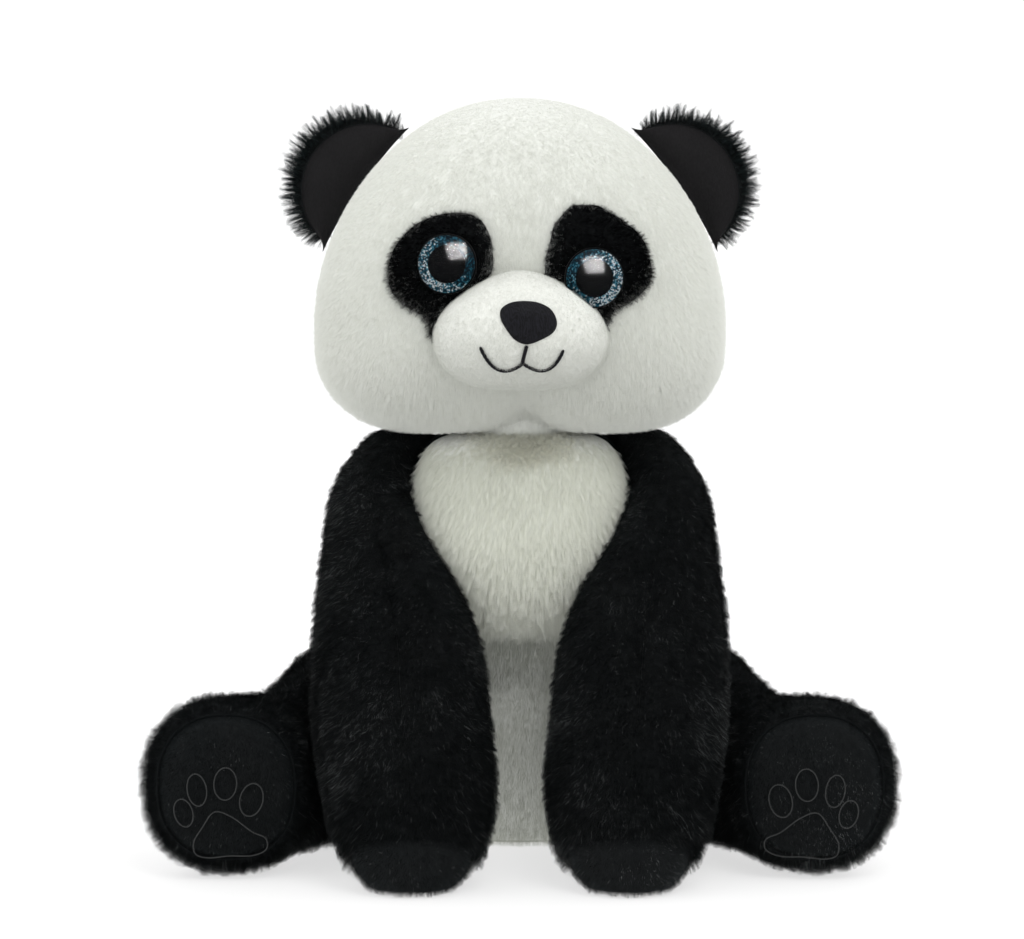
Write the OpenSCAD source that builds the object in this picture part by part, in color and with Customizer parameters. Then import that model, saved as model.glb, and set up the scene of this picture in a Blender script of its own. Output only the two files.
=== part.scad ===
// Plush panda that sits upright on its seat, with its arms down in front and its legs spread.
// Millimetres, +Z up, the face looks along -Y, and "left" is the -X side.
// The origin is the middle of the footprint, on the surface that the toy sits on.

/* [Head] */
// Width of the head across the cheeks
head_w = 170; // [164:1:176]
// Height of the head from chin to crown
head_h = 136; // [130:1:140]
// Depth of the head without the muzzle
head_d = 140; // [132:1:146]
// How far the cheeks hang below the middle of the head
head_droop = 28; // [24:1:30]
// Height of the head's middle above the floor
head_z = 250; // [249:1:256]
// Half width of the muzzle
muzzle_rx = 34.5; // [30:0.5:37]
// Half height of the muzzle
muzzle_rz = 24; // [20:0.5:26]
// How far the muzzle stands out of the face
muzzle_out = 28; // [20:1:32]
// Radius of the ears
ear_r = 31.5; // [30:0.5:34]

/* [Eyes] */
// Diameter of each safety eye
eye_d = 24; // [18:1:26]
// Distance of each eye from the middle of the face
eye_x = 29; // [27:0.5:33]
// Height of the left eye
eye_z_left = 250; // [244:0.5:254]
// Height of the right eye, set a little lower by hand sewing
eye_z_right = 244.5; // [242:0.5:254]
// Diameter of the post behind each eye
post_d = 5; // [4:0.5:6]

/* [Limbs] */
// How far an arm leans forward from upright
arm_lean = 33.8; // [32:0.1:36]
// Length of an arm from shoulder to paw
arm_len = 207; // [200:1:210]
// Distance of a foot's middle from the toy's middle
foot_x = 118.8; // [118:0.1:126]
// Half width of a foot
foot_rx = 35.7; // [30:0.1:36]
// Half height of a foot
foot_rz = 38; // [32:0.5:40]

/* [Cloth] */
// Thickness of the pile fabric with its backing
skin = 3; // [2:0.5:4]
// Clearance between neighbouring layers
gap = 0.3; // [0.2:0.1:0.5]
// Clearance between the cloth and the filling
fill_gap = 2; // [1.5:0.1:3]
// Half of the seam between two panels, in degrees round the form
seam = 0.35; // [0.2:0.05:0.6]

/* [Hidden] */

LEFT = -1;
RIGHT = 1;
white = [0.90, 0.89, 0.86];
black = [0.07, 0.075, 0.075];
soft_grey = [0.16, 0.17, 0.17];
fill_white = [0.95, 0.95, 0.92];

// A soft form is a spine with a row of ring sizes along it. Each row holds the ring's offset
// along the form's first and second axes, its two radii, and how far its far side shears.
ROWS = 0;
LENGTH = 1;
END_POWERS = 2;  // how square the first and the last end are: 2 is an ellipsoid
SIDE_POWER = 3;  // how square each ring is: 2 is an ellipse
START = 4;       // where the spine begins
AXES = 5;        // first ring axis, second ring axis, spine axis: right-handed

UP_AXES = [[1, 0, 0], [0, 1, 0], [0, 0, 1]];
BACK_AXES = [[1, 0, 0], [0, 0, -1], [0, 1, 0]];
SIDEWAYS_AXES = [[0, 0, 1], [0, -1, 0], [1, 0, 0]];
ARM_AXES = [[1, 0, 0], [0, cos(arm_lean), -sin(arm_lean)], [0, sin(arm_lean), cos(arm_lean)]];

head_steps = 16;
head_y = -5;
head_power = 2.4;
head_side_power = 2.3;
head_form = [
    [for (i = [0:head_steps])
        let (x = 2 * i / head_steps - 1)
        [-head_droop * x * x, 0, head_h / 2, head_d / 2, 0]],
    head_w, [head_power, head_power], head_side_power, [-head_w / 2, head_y, head_z],
    SIDEWAYS_AXES
];

// From the seat to the neck. The belly is drawn in under the chest.
torso_top = 176;
torso_base = -14;
torso_form = [
    [[0, 44, 44, 40, 0], [0, 44, 48, 46, 0], [0, 44, 49, 49, 0], [0, 43.5, 49, 49, 0],
     [0, 40, 47, 46, 0], [0, 18, 42.5, 53, 0], [0, 8, 42, 53, 0], [0, 5, 43.5, 47, 0],
     [0, 4, 42, 42, 0]],
    torso_top - torso_base, [5, 5], 2.2, [0, 0, torso_base], UP_AXES
];

// From the paw up to the shoulder.
paw_x = 43.6;
paw_front = -98.4;
arm_form = [
    [[0, 0, 37, 30, 0], [0, 0, 39, 30, 0], [-1.5, 0, 38, 29, 0.05], [-4.5, 0, 36.5, 28.5, 0.1],
     [-6.5, 0, 35, 28, 0.25], [-12.5, 0, 28, 28, 0.35], [-18, 0, 20, 29, 0.3],
     [-18, 0, 18, 29, 0], [-15.5, 0, 16.5, 29, 0]],
    arm_len, [2.6, 4], 2.2, [-paw_x, paw_front, -2], ARM_AXES
];
paw_seam = 34;  // where the pad at the end of the paw meets the arm, in degrees from its tip

// From the sole back to the hip.
sole_y = -72;
leg_len = 138;
leg_form = [
    [[0, 0, foot_rx, foot_rz, 0], [0, 0.5, 35.5, 37.5, 0], [17, 1, 24, 34, 0],
     [32, -4, 22, 39, 0], [39, -6, 25, 41.5, 0], [42, -4, 25, 37, 0], [42, -2, 16, 24, 0]],
    leg_len, [5, 5], 2.3, [-foot_x, sole_y, foot_rz], BACK_AXES
];
sole_seam = 25;  // where the sole meets the leg, in degrees from the sole's middle

tail_form = [
    [[0, 0, 6, 6, 0], [0, 0, 11, 10, 0], [0, 0, 16.5, 14.5, 0], [0, 0, 17, 15, 0],
     [0, 0, 15, 13, 0]],
    13.2, [head_power, head_power], 2, [0, 93.9, 32], BACK_AXES
];
tail_skin = 1.5;

neck_r = 22;
neck_z = 179;
socket_r = neck_r + 0.5;

tip = 1;  // a form's panels stop this many degrees short of its two poles

// ---- shape functions -------------------------------------------------------------------

function lerp(a, b, t) = a + (b - a) * t;

function signed_pow(v, p) = sign(v) * pow(abs(v), p);

// A smooth curve through evenly spaced rows, at s from 0 to 1.
function row_at(rows, s) =
    let (n = len(rows) - 1, f = min(max(s, 0) * n, n - 0.0001), i = floor(f), t = f - i,
         a = rows[max(i - 1, 0)], b = rows[i], c = rows[i + 1], d = rows[min(i + 2, n)])
    b + 0.5 * t * ((c - a) + t * ((2 * a - 5 * b + 4 * c - d) + t * (3 * (b - c) + d - a)));

// Position along the spine, from -1 to 1, at an angle from the first pole.
function along(angle) = -cos(angle);

// The angle at which a form reaches a share s of its spine.
function angle_at(s) = acos(1 - 2 * s);

// How much of a ring's radius is left at a place c along the spine.
function end_scale(c, power) = pow(max(0, 1 - pow(abs(c), power)), 1 / power);

// A point of a form: angle from the first pole, turn round the ring, and depth under the skin.
// What would lie below the floor is pressed flat on it.
function form_point(form, angle, turn, depth) =
    let (c = along(angle), s = (c + 1) / 2, e = end_scale(c, form[END_POWERS][c > 0 ? 1 : 0]),
         row = row_at(form[ROWS], s), q = 2 / form[SIDE_POWER],
         da = (row[2] - depth) * e * signed_pow(cos(turn), q),
         db = (row[3] - depth) * e * signed_pow(sin(turn), q) - row[4] * max(0, da),
         p = form[START] + form[AXES][0] * (row[0] + da) + form[AXES][1] * (row[1] + db)
             + form[AXES][2] * (depth + s * (form[LENGTH] - 2 * depth)))
    [p[0], p[1], max(p[2], depth)];

function form_ring(form, angle, depth, sides) =
    [for (j = [0:sides - 1]) form_point(form, angle, 360 * j / sides, depth)];

function mid(points) = [for (k = [0:2]) min([for (p = points) p[k]]) / 2
                                      + max([for (p = points) p[k]]) / 2];

// y of the head's front surface at x and z, moved forward by out.
function face_y(x, z, out = 0) =
    let (c = x / (head_w / 2), e = end_scale(c, head_power),
         dz = (z - head_z + head_droop * c * c) / (head_h / 2 * e))
    head_y - head_d / 2 * e * end_scale(dz, head_side_power) - out;

muzzle_z = 223.5;
muzzle_power = 2.4;
// The muzzle is a little narrower above its middle and fuller below it.
muzzle_jowl = 0.23;
function jowl(turn) = 1 - muzzle_jowl * pow(sin(turn), 2) * cos(turn);
function muzzle_reach(x, z) =
    norm([x / muzzle_rx, (z - muzzle_z) / muzzle_rz]) / jowl(atan2(x, z - muzzle_z));
function muzzle_y(x, z, out = 0) =
    face_y(x, z, out + muzzle_out * sqrt(max(0, 1 - pow(muzzle_reach(x, z), muzzle_power))));

sole_reach_power = 2.3;
function sole_front(x, z) =
    let (rho = pow(pow(abs(x + foot_x) / foot_rx, sole_reach_power)
                   + pow(abs(z - foot_rz) / foot_rz, sole_reach_power), 1 / sole_reach_power))
    sole_y + leg_len * (1 - end_scale(rho, 5)) / 2;

// ---- solids from points ------------------------------------------------------------------

function two(a, b, c, d) = [[a, b, c], [a, c, d]];
function flat_list(lists) = [for (l = lists) each l];

// A closed solid from a list of rings with the same number of points. Each end is closed
// with a fan to its middle.
module closed_rings(rings) {
    n = len(rings[0]);
    last = len(rings) - 1;
    points = concat(flat_list(rings), [mid(rings[0]), mid(rings[last])]);
    head_tip = n * (last + 1);
    walls = [for (i = [0:last - 1], j = [0:n - 1])
        let (k = (j + 1) % n)
        each two(i * n + j, (i + 1) * n + j, (i + 1) * n + k, i * n + k)];
    ends = [for (j = [0:n - 1])
        let (k = (j + 1) % n)
        each [[head_tip, j, k], [head_tip + 1, last * n + k, last * n + j]]];
    polyhedron(points = points, faces = concat(walls, ends));
}

// A solid sheet between two grids of points: outer is seen from outside the form.
module sheet(outer, inner) {
    rows = len(outer);
    cols = len(outer[0]);
    count = rows * cols;
    skins = [for (i = [0:rows - 2], j = [0:cols - 2])
        let (a = i * cols + j, b = a + cols, c = b + 1, d = a + 1)
        each concat(two(a, b, c, d), two(count + a, count + d, count + c, count + b))];
    long_edges = [for (i = [0:rows - 2])
        let (a = i * cols, b = a + cols, c = a + cols - 1, d = b + cols - 1)
        each concat(two(b, a, count + a, count + b), two(c, d, count + d, count + c))];
    last = (rows - 1) * cols;
    short_edges = [for (j = [0:cols - 2])
        each concat(two(j, j + 1, count + j + 1, count + j),
                    two(last + j + 1, last + j, count + last + j, count + last + j + 1))];
    polyhedron(points = concat(flat_list(outer), flat_list(inner)),
               faces = concat(skins, long_edges, short_edges));
}

// A panel of a form's skin. low and high give its two ends as angles at each turn.
module panel(form, low, high, turn_0, turn_1, steps, turns, thick = skin) {
    grids = [for (depth = [0, thick])
        [for (i = [0:steps])
            [for (j = [0:turns])
                let (turn = lerp(turn_0, turn_1, j / turns))
                form_point(form, lerp(low(turn), high(turn), i / steps), turn, depth)]]];
    sheet(grids[0], grids[1]);
}

// The whole of a form under its skin, as one solid.
module filling(form, depth, steps, sides, low = tip) {
    closed_rings([for (i = [0:steps])
        form_ring(form, lerp(low, 180 - tip, i / steps), depth, sides)]);
}

// The skin of a form's first end, from its pole to a ring.
module end_cap(form, high, thick, steps, sides) {
    rings = [for (depth = [0, thick])
        [for (i = [0:steps]) form_ring(form, lerp(tip, high, i / steps), depth, sides)]];
    closed_rings(concat(rings[0], [for (i = [steps:-1:0]) rings[1][i]]));
}

// A slab that lies on a surface facing -Y. reach gives its outline at each turn from +Z to
// +X, front and back give y at x and z.
module slab(centre, reach, front, back, steps, sides) {
    rings = [for (face = [0, 1])
        [for (i = [0:steps])
            [for (j = [0:sides - 1])
                let (turn = 360 * j / sides, r = reach(turn) * lerp(0.06, 1, i / steps),
                     x = centre[0] + r * sin(turn), z = centre[1] + r * cos(turn))
                [x, face == 0 ? front(x, z) : back(x, z), z]]]];
    closed_rings(concat(rings[0], [for (i = [steps:-1:0]) rings[1][i]]));
}

// A thread along points on a surface facing -Y.
module thread(points, r, sides) {
    n = len(points) - 1;
    closed_rings([for (i = [0:n])
        let (d = points[min(i + 1, n)] - points[max(i - 1, 0)], t = d / norm(d),
             out = [0, -1, 0], side = cross(t, out))
        [for (j = [0:sides - 1])
            points[i] + r * (out * cos(360 * j / sides) + side * sin(360 * j / sides))]]);
}

function always(value) = function (turn) value;

function bezier(a, b, c, t) = (1 - t) * (1 - t) * a + 2 * t * (1 - t) * b + t * t * c;

// Draws the left side's solid on the given side.
module on_side(side) {
    mirror([side == RIGHT ? 1 : 0, 0, 0]) children();
}

// ---- torso -------------------------------------------------------------------------------

torso_floor = 24;     // ring where the side panels meet the seat
torso_neck = 165;     // ring where the panels stop round the neck
front_turn = 70;      // the front panels reach this far either side of the middle
function torso_angle(z) = angle_at((z - torso_base) / (torso_top - torso_base));
chest_hem = torso_angle(98);
yoke_hem = torso_angle(112);

module torso_panel(turn_0, turn_1, low, high, steps, turns) {
    panel(torso_form, always(low + seam), always(high - seam), turn_0 + seam, turn_1 - seam,
          steps, turns);
}

module chest_panel() {
    color(white)
        torso_panel(270 - front_turn, 270 + front_turn, chest_hem, torso_neck, 8, 11);
}

module belly_panel() {
    color(white)
        torso_panel(270 - front_turn, 270 + front_turn, torso_floor, chest_hem, 9, 11);
}

module back_panel(side) {
    color(white) on_side(side)
        torso_panel(90, 270 - front_turn, torso_floor, yoke_hem, 9, 8);
}

module yoke_panel(side) {
    color(black) on_side(side)
        torso_panel(90, 270 - front_turn, yoke_hem, torso_neck, 6, 8);
}

module seat_panel() {
    rim = form_ring(torso_form, torso_floor, skin + 2 * gap, 40);
    color(white)
        linear_extrude(skin)
            polygon([for (p = rim) [p[0], p[1]]]);
}

module torso_stuffing() {
    color(fill_white)
        difference() {
            filling(torso_form, skin + fill_gap, 28, 24);
            translate([0, 0, neck_z]) sphere(r = socket_r, $fn = 48);
        }
}

module neck_stuffing() {
    color(fill_white) translate([0, 0, neck_z]) sphere(r = neck_r, $fn = 48);
}

// Ladder stitches that close the middle back seam where the filling goes in.
stitch_z = [104, 110, 116, 122, 128, 134];
module closing_stitches() {
    for (z = stitch_z)
        color(white)
            translate(form_point(torso_form, torso_angle(z), 90, -1.3))
                rotate([0, 90, 0]) cylinder(d = 1, h = 6, center = true, $fn = 16);
}

// A blank cloth label beside the tail.
label_size = [20, 0.5, 26];
label_turn = 121;
label_yaw = 21;
module care_label() {
    color([0.95, 0.95, 0.95])
        translate(form_point(torso_form, torso_angle(32), label_turn, -1.6))
            rotate([0, 0, label_yaw]) translate([-label_size[0] / 2, 0, 0]) cube(label_size);
}

// ---- head --------------------------------------------------------------------------------

crown_turn = 12;     // the gusset, the face and the back of the head meet here
gusset_end = 78;     // the gusset ends between the eyes
turn_step = 11;      // the face panels and the gusset share their steps round the head
gusset_half = 20;
under_turn = crown_turn + 15 * turn_step;
function gusset_reach(turn) =
    gusset_half * max(0, (gusset_end + turn_step - turn) / (gusset_end + turn_step - crown_turn));

function eye_z(side) = side == LEFT ? eye_z_left : eye_z_right;
eye_yaw = 11.3;

// Places an eye's parts on the face, with +Z along the way that the eye looks.
module at_eye(side) {
    x = side * eye_x;
    translate([x, face_y(x, eye_z(side), patch_t + 2 * gap + 0.4), eye_z(side)])
        rotate([90, 0, side * eye_yaw]) children();
}

module post_hole(side) {
    at_eye(side) translate([0, 0, -30]) cylinder(d = post_d + 0.6, h = 40, $fn = 32);
}

module neck_hole() {
    translate([0, 0, neck_z]) sphere(r = socket_r, $fn = 48);
}

module face_panel(side) {
    color(white)
        difference() {
            on_side(side)
                panel(head_form, always(tip), function (turn) 90 - gusset_reach(turn) - seam,
                      crown_turn, under_turn, 9, 15);
            post_hole(side);
            neck_hole();
        }
}

module forehead_gusset() {
    color(white)
        panel(head_form, function (turn) 90 - gusset_reach(turn) + seam,
              function (turn) 90 + gusset_reach(turn) - seam, crown_turn, gusset_end, 4, 6);
}

module head_back(side) {
    color(white)
        difference() {
            on_side(side)
                panel(head_form, always(tip), always(90 - seam), under_turn + 2 * seam,
                      360 + crown_turn - 2 * seam, 9, 13);
            neck_hole();
        }
}

pocket_depth = 18;
module head_stuffing() {
    color(fill_white)
        difference() {
            filling(head_form, skin + fill_gap, 16, 22);
            neck_hole();
            for (side = [LEFT, RIGHT])
                at_eye(side) translate([0, 0, -pocket_depth])
                    cylinder(d = washer_d + 1, h = pocket_depth, $fn = 32);
        }
}

// The black patches round the eyes: tilted ovals, cut off where the muzzle begins.
patch_t = 1.8;
patch_x = 32.5;
patch_z = 247.5;
patch_long = 24.7;
patch_short = 18.3;
patch_tilt = 51;
patch_clear = 1.06;
function oval_reach(turn) =
    1 / norm([sin(turn + patch_tilt) / patch_long, cos(turn + patch_tilt) / patch_short]);
function muzzle_hit(p, turn) =
    let (r = [muzzle_rx, muzzle_rz] * patch_clear, d = [sin(turn), cos(turn)],
         o = p - [0, muzzle_z], a = pow(d[0] / r[0], 2) + pow(d[1] / r[1], 2),
         b = d[0] * o[0] / pow(r[0], 2) + d[1] * o[1] / pow(r[1], 2),
         c = pow(o[0] / r[0], 2) + pow(o[1] / r[1], 2) - 1, root = b * b - a * c)
    root > 0 && b < 0 ? (-b - sqrt(root)) / a : 1000;
function patch_centre(side) = [-patch_x, patch_z + (side == RIGHT ? 2.5 : 0)];

module eye_patch(side) {
    centre = patch_centre(side);
    color(black)
        difference() {
            on_side(side)
                slab(centre, function (turn) min(oval_reach(turn), muzzle_hit(centre, turn)),
                     function (x, z) face_y(x, z, patch_t + gap),
                     function (x, z) face_y(x, z, gap), 4, 28);
            post_hole(side);
        }
}

function muzzle_edge(turn) =
    jowl(turn) / norm([sin(turn) / muzzle_rx, cos(turn) / muzzle_rz]);
cover_t = 2.5;

// The muzzle's cloth is pushed in where it meets an eye.
module eye_dent(side) {
    at_eye(side) translate([0, 0, -gap]) cylinder(d = eye_d + 2 * gap, h = 12, $fn = 48);
}

module muzzle_cover() {
    color(white)
        difference() {
            slab([0, muzzle_z], function (turn) 0.995 * muzzle_edge(turn),
                 function (x, z) muzzle_y(x, z, gap),
                 function (x, z) min(muzzle_y(x, z, gap) + cover_t, face_y(x, z, gap / 2)),
                 7, 28);
            eye_dent(LEFT);
            eye_dent(RIGHT);
        }
}

module muzzle_stuffing() {
    color(fill_white)
        slab([0, muzzle_z], function (turn) 0.84 * muzzle_edge(turn),
             function (x, z) min(muzzle_y(x, z, gap) + cover_t + fill_gap, face_y(x, z, 2 * gap)),
             function (x, z) face_y(x, z, gap), 5, 24);
}

nose_size = [10.9, 9.2];
nose_tilt = 6;
nose_t = 1.6;
module nose_patch() {
    color(black)
        slab([3, 228], function (turn)
                 (1 + 0.13 * cos(3 * (turn - 180 - nose_tilt)))
                 / norm([sin(turn) / nose_size[0], cos(turn) / nose_size[1]]),
             function (x, z) muzzle_y(x, z, nose_t + 2 * gap),
             function (x, z) muzzle_y(x, z, 2 * gap), 3, 24);
}

// The mouth: a short line under the nose and two curves.
thread_r = 0.6;
mouth_curves = [
    [[2.2, 217.2], [1, 214], [0.6, 212.4]],
    [[-0.7, 210.6], [-11, 203.5], [-15.9, 217.8]],
    [[1.9, 210.4], [12.5, 203.5], [16.6, 216.4]]
];
module mouth_stitches() {
    for (curve = mouth_curves)
        color(black)
            thread([for (i = [0:7])
                let (p = bezier(curve[0], curve[1], curve[2], i / 7))
                [p[0], muzzle_y(p[0], p[1], thread_r + 3 * gap), p[1]]], thread_r, 6);
}

// ---- eyes --------------------------------------------------------------------------------

disc_t = 1.5;
inlay_t = 0.6;
dome_h = 5.5;
lens_r = eye_d / 2 - 0.1;
dome_r = (lens_r * lens_r + dome_h * dome_h) / (2 * dome_h);
pupil_r = eye_d * 0.32;
post_len = 13;
washer_d = 18;
washer_t = 1.6;
washer_z = -7.4;

module eye_lens(side) {
    color([0.9, 0.95, 1, 0.4])
        at_eye(side)
            translate([0, 0, disc_t + inlay_t])
                intersection() {
                    translate([0, 0, dome_h - dome_r]) sphere(r = dome_r, $fn = 64);
                    cylinder(r = lens_r + 1, h = dome_h + 1, $fn = 64);
                }
}

module eye_iris(side) {
    color([0.12, 0.28, 0.42])
        at_eye(side)
            translate([0, 0, disc_t])
                difference() {
                    cylinder(r = lens_r - 0.4, h = inlay_t, $fn = 64);
                    translate([0, 0, -1]) cylinder(r = pupil_r + 0.1, h = inlay_t + 2, $fn = 64);
                }
}

module eye_pupil(side) {
    color("black")
        at_eye(side) translate([0, 0, disc_t]) cylinder(r = pupil_r, h = inlay_t, $fn = 64);
}

module eye_shank(side) {
    color("black")
        at_eye(side)
            union() {
                cylinder(r = lens_r - 0.4, h = disc_t, $fn = 64);
                translate([0, 0, -post_len]) cylinder(d = post_d, h = post_len + 0.5, $fn = 32);
            }
}

module eye_washer(side) {
    color("white")
        at_eye(side)
            translate([0, 0, washer_z - washer_t])
                difference() {
                    cylinder(d = washer_d, h = washer_t, $fn = 48);
                    translate([0, 0, -1])
                        cylinder(d = post_d + 0.1, h = washer_t + 2, $fn = 32);
                }
}

// ---- ears --------------------------------------------------------------------------------

// Each ear is two half-lens panels that stand on a curved root along the head.
ear_y = 10;
ear_centre = [-68, 281];
ear_from = 52;
ear_to = 240;
root_a = [-46.6, 304.8];
root_mid = [-73.8, 285];
root_b = [-83.2, 252.4];
ear_edge = 1.2;
ear_puff = 4.6;
ear_lining = 0.2;  // a panel's inner face bulges by this share of its outer one

function ear_point(along, out) =
    let (root = bezier(root_a, root_mid, root_b, along), turn = lerp(ear_from, ear_to, along),
         rim = ear_centre + ear_r * [cos(turn), sin(turn)])
    lerp(root, rim, out);
function ear_half(along, out) =
    ear_edge + ear_puff * sqrt(max(0, 4 * along * (1 - along))) * sin(180 * pow(out, 0.8));

// The front panel of a pair that meets at y = 0.
module ear_panel() {
    grid = function (share)
        [for (i = [0:6])
            [for (j = [0:12])
                let (p = ear_point(j / 12, i / 6), half = ear_half(j / 12, i / 6))
                [p[0], -gap / 2 - share * half, p[1]]]];
    sheet(grid(ear_lining), grid(1));
}

module ear_front(side) {
    color(soft_grey) on_side(side) translate([0, ear_y, 0]) ear_panel();
}

module ear_back(side) {
    color(black) on_side(side) translate([0, ear_y, 0]) mirror([0, 1, 0]) ear_panel();
}

// ---- arms --------------------------------------------------------------------------------

module arm_panel(side, turn_0) {
    color(black) on_side(side)
        panel(arm_form, always(paw_seam + seam), always(180 - tip), turn_0 + seam,
              turn_0 + 180 - seam, 11, 9);
}

module paw_pad(side) {
    color(soft_grey) on_side(side) end_cap(arm_form, paw_seam - seam, skin, 3, 20);
}

module arm_stuffing(side) {
    color(fill_white) on_side(side) filling(arm_form, skin + fill_gap, 12, 16);
}

// ---- legs --------------------------------------------------------------------------------

module leg_panel(side, turn_0) {
    color(black) on_side(side)
        panel(leg_form, always(sole_seam + seam), always(180 - tip), turn_0 + seam,
              turn_0 + 180 - seam, 12, 9);
}

module foot_sole(side) {
    color(soft_grey) on_side(side) end_cap(leg_form, sole_seam - seam, skin, 3, 20);
}

module leg_stuffing(side) {
    color(fill_white) on_side(side) filling(leg_form, skin + 1.5 * fill_gap, 12, 16);
}

// The paw print sewn on each sole: one pad and four toes.
toe_turns = [-57, -20, 20, 57];
toe_reach = 21;
toe_r = [4.2, 5.2];
print_t = 0.8;
module sole_print(side) {
    front = function (x, z) sole_front(x, z) - print_t - gap;
    back = function (x, z) sole_front(x, z) - gap;
    centre = [-foot_x, foot_rz - 5];
    color([0.35, 0.35, 0.36]) on_side(side) {
        slab(centre, function (turn) 11.5 + 1.6 * cos(3 * turn), front, back, 2, 18);
        for (turn = toe_turns)
            slab(centre + toe_reach * [sin(turn), cos(turn)],
                 function (a) 1 / norm([sin(a - turn) / toe_r[0], cos(a - turn) / toe_r[1]]),
                 front, back, 1, 12);
    }
}

// ---- tail --------------------------------------------------------------------------------

module tail_panel(side) {
    color(white) on_side(side)
        panel(tail_form, always(tip), always(180 - tip), 90 + 2 * seam, 270 - 2 * seam, 7, 6,
              tail_skin);
}

module tail_stuffing() {
    color(fill_white) filling(tail_form, tail_skin + fill_gap / 2, 6, 12);
}

// ---- nodes -------------------------------------------------------------------------------

torso_stuffing();
chest_panel();
belly_panel();
back_panel(LEFT);  // back_panel_left
back_panel(RIGHT);  // back_panel_right
yoke_panel(LEFT);  // yoke_panel_left
yoke_panel(RIGHT);  // yoke_panel_right
seat_panel();
closing_stitches();
care_label();
neck_stuffing();
head_stuffing();
face_panel(LEFT);  // face_panel_left
face_panel(RIGHT);  // face_panel_right
forehead_gusset();
head_back(LEFT);  // head_back_left
head_back(RIGHT);  // head_back_right
eye_patch(LEFT);  // eye_patch_left
eye_patch(RIGHT);  // eye_patch_right
muzzle_cover();
muzzle_stuffing();
nose_patch();
mouth_stitches();
eye_lens(LEFT);  // eye_lens_left
eye_iris(LEFT);  // eye_iris_left
eye_pupil(LEFT);  // eye_pupil_left
eye_shank(LEFT);  // eye_shank_left
eye_washer(LEFT);  // eye_washer_left
eye_lens(RIGHT);  // eye_lens_right
eye_iris(RIGHT);  // eye_iris_right
eye_pupil(RIGHT);  // eye_pupil_right
eye_shank(RIGHT);  // eye_shank_right
eye_washer(RIGHT);  // eye_washer_right
ear_front(LEFT);  // ear_front_left
ear_back(LEFT);  // ear_back_left
ear_front(RIGHT);  // ear_front_right
ear_back(RIGHT);  // ear_back_right
arm_panel(LEFT, 90);  // arm_left_outer
arm_panel(LEFT, 270);  // arm_left_inner
paw_pad(LEFT);  // paw_pad_left
arm_stuffing(LEFT);  // arm_left_stuffing
arm_panel(RIGHT, 90);  // arm_right_outer
arm_panel(RIGHT, 270);  // arm_right_inner
paw_pad(RIGHT);  // paw_pad_right
arm_stuffing(RIGHT);  // arm_right_stuffing
leg_panel(LEFT, 180);  // leg_left_top
leg_panel(LEFT, 0);  // leg_left_under
foot_sole(LEFT);  // foot_sole_left
sole_print(LEFT);  // sole_print_left
leg_stuffing(LEFT);  // leg_left_stuffing
leg_panel(RIGHT, 180);  // leg_right_top
leg_panel(RIGHT, 0);  // leg_right_under
foot_sole(RIGHT);  // foot_sole_right
sole_print(RIGHT);  // sole_print_right
leg_stuffing(RIGHT);  // leg_right_stuffing
tail_panel(LEFT);  // tail_left
tail_panel(RIGHT);  // tail_right
tail_stuffing();
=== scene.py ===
"""A sitting plush panda: pile panels, filling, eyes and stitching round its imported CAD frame.

The shapes below follow the CAD's, in its millimetres, with +Z up and the face looking along -Y.
"""

import math
from types import SimpleNamespace

import bpy
import numpy as np
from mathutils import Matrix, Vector


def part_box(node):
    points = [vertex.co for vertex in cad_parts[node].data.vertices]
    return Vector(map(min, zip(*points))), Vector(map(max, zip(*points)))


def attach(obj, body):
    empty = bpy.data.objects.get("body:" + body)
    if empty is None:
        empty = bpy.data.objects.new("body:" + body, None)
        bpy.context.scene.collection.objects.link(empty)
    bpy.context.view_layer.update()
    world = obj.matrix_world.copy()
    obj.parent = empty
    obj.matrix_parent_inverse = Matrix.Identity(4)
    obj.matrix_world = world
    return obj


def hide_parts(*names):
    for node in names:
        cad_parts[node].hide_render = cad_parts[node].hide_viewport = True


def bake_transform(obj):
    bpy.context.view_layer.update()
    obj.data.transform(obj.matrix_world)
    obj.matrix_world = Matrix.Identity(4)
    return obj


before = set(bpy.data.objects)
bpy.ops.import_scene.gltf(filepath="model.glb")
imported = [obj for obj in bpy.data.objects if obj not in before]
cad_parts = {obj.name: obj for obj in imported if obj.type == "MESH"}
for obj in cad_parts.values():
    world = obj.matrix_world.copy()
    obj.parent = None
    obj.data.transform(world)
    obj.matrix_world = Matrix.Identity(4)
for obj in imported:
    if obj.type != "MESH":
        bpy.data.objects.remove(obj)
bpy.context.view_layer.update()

MM = 0.001
LEFT, RIGHT = -1, 1
SIDE_NAMES = {LEFT: "left", RIGHT: "right"}
SIDES = (LEFT, RIGHT)

# How finely cloth and filling are meshed, in millimetres.
CLOTH_STEP = 1.6
FILLING_STEP = 4.0
FLOOR_GAP = 0.2  # how far cloth stays over the floor

# ---- the forms ---------------------------------------------------------------------------

UP_AXES = np.array([[1, 0, 0], [0, 1, 0], [0, 0, 1]], float)
BACK_AXES = np.array([[1, 0, 0], [0, 0, -1], [0, 1, 0]], float)
SIDEWAYS_AXES = np.array([[0, 0, 1], [0, -1, 0], [1, 0, 0]], float)
ARM_LEAN = math.radians(33.8)
ARM_AXES = np.array([[1, 0, 0],
                     [0, math.cos(ARM_LEAN), -math.sin(ARM_LEAN)],
                     [0, math.sin(ARM_LEAN), math.cos(ARM_LEAN)]])


def form(rows, length, end_powers, side_power, start, axes):
    """A soft form: rings along a spine. A row is the ring's two offsets, two radii and shear."""
    return SimpleNamespace(rows=np.array(rows, float), length=length, end_powers=end_powers,
                           side_power=side_power, start=np.array(start, float), axes=axes)


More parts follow.
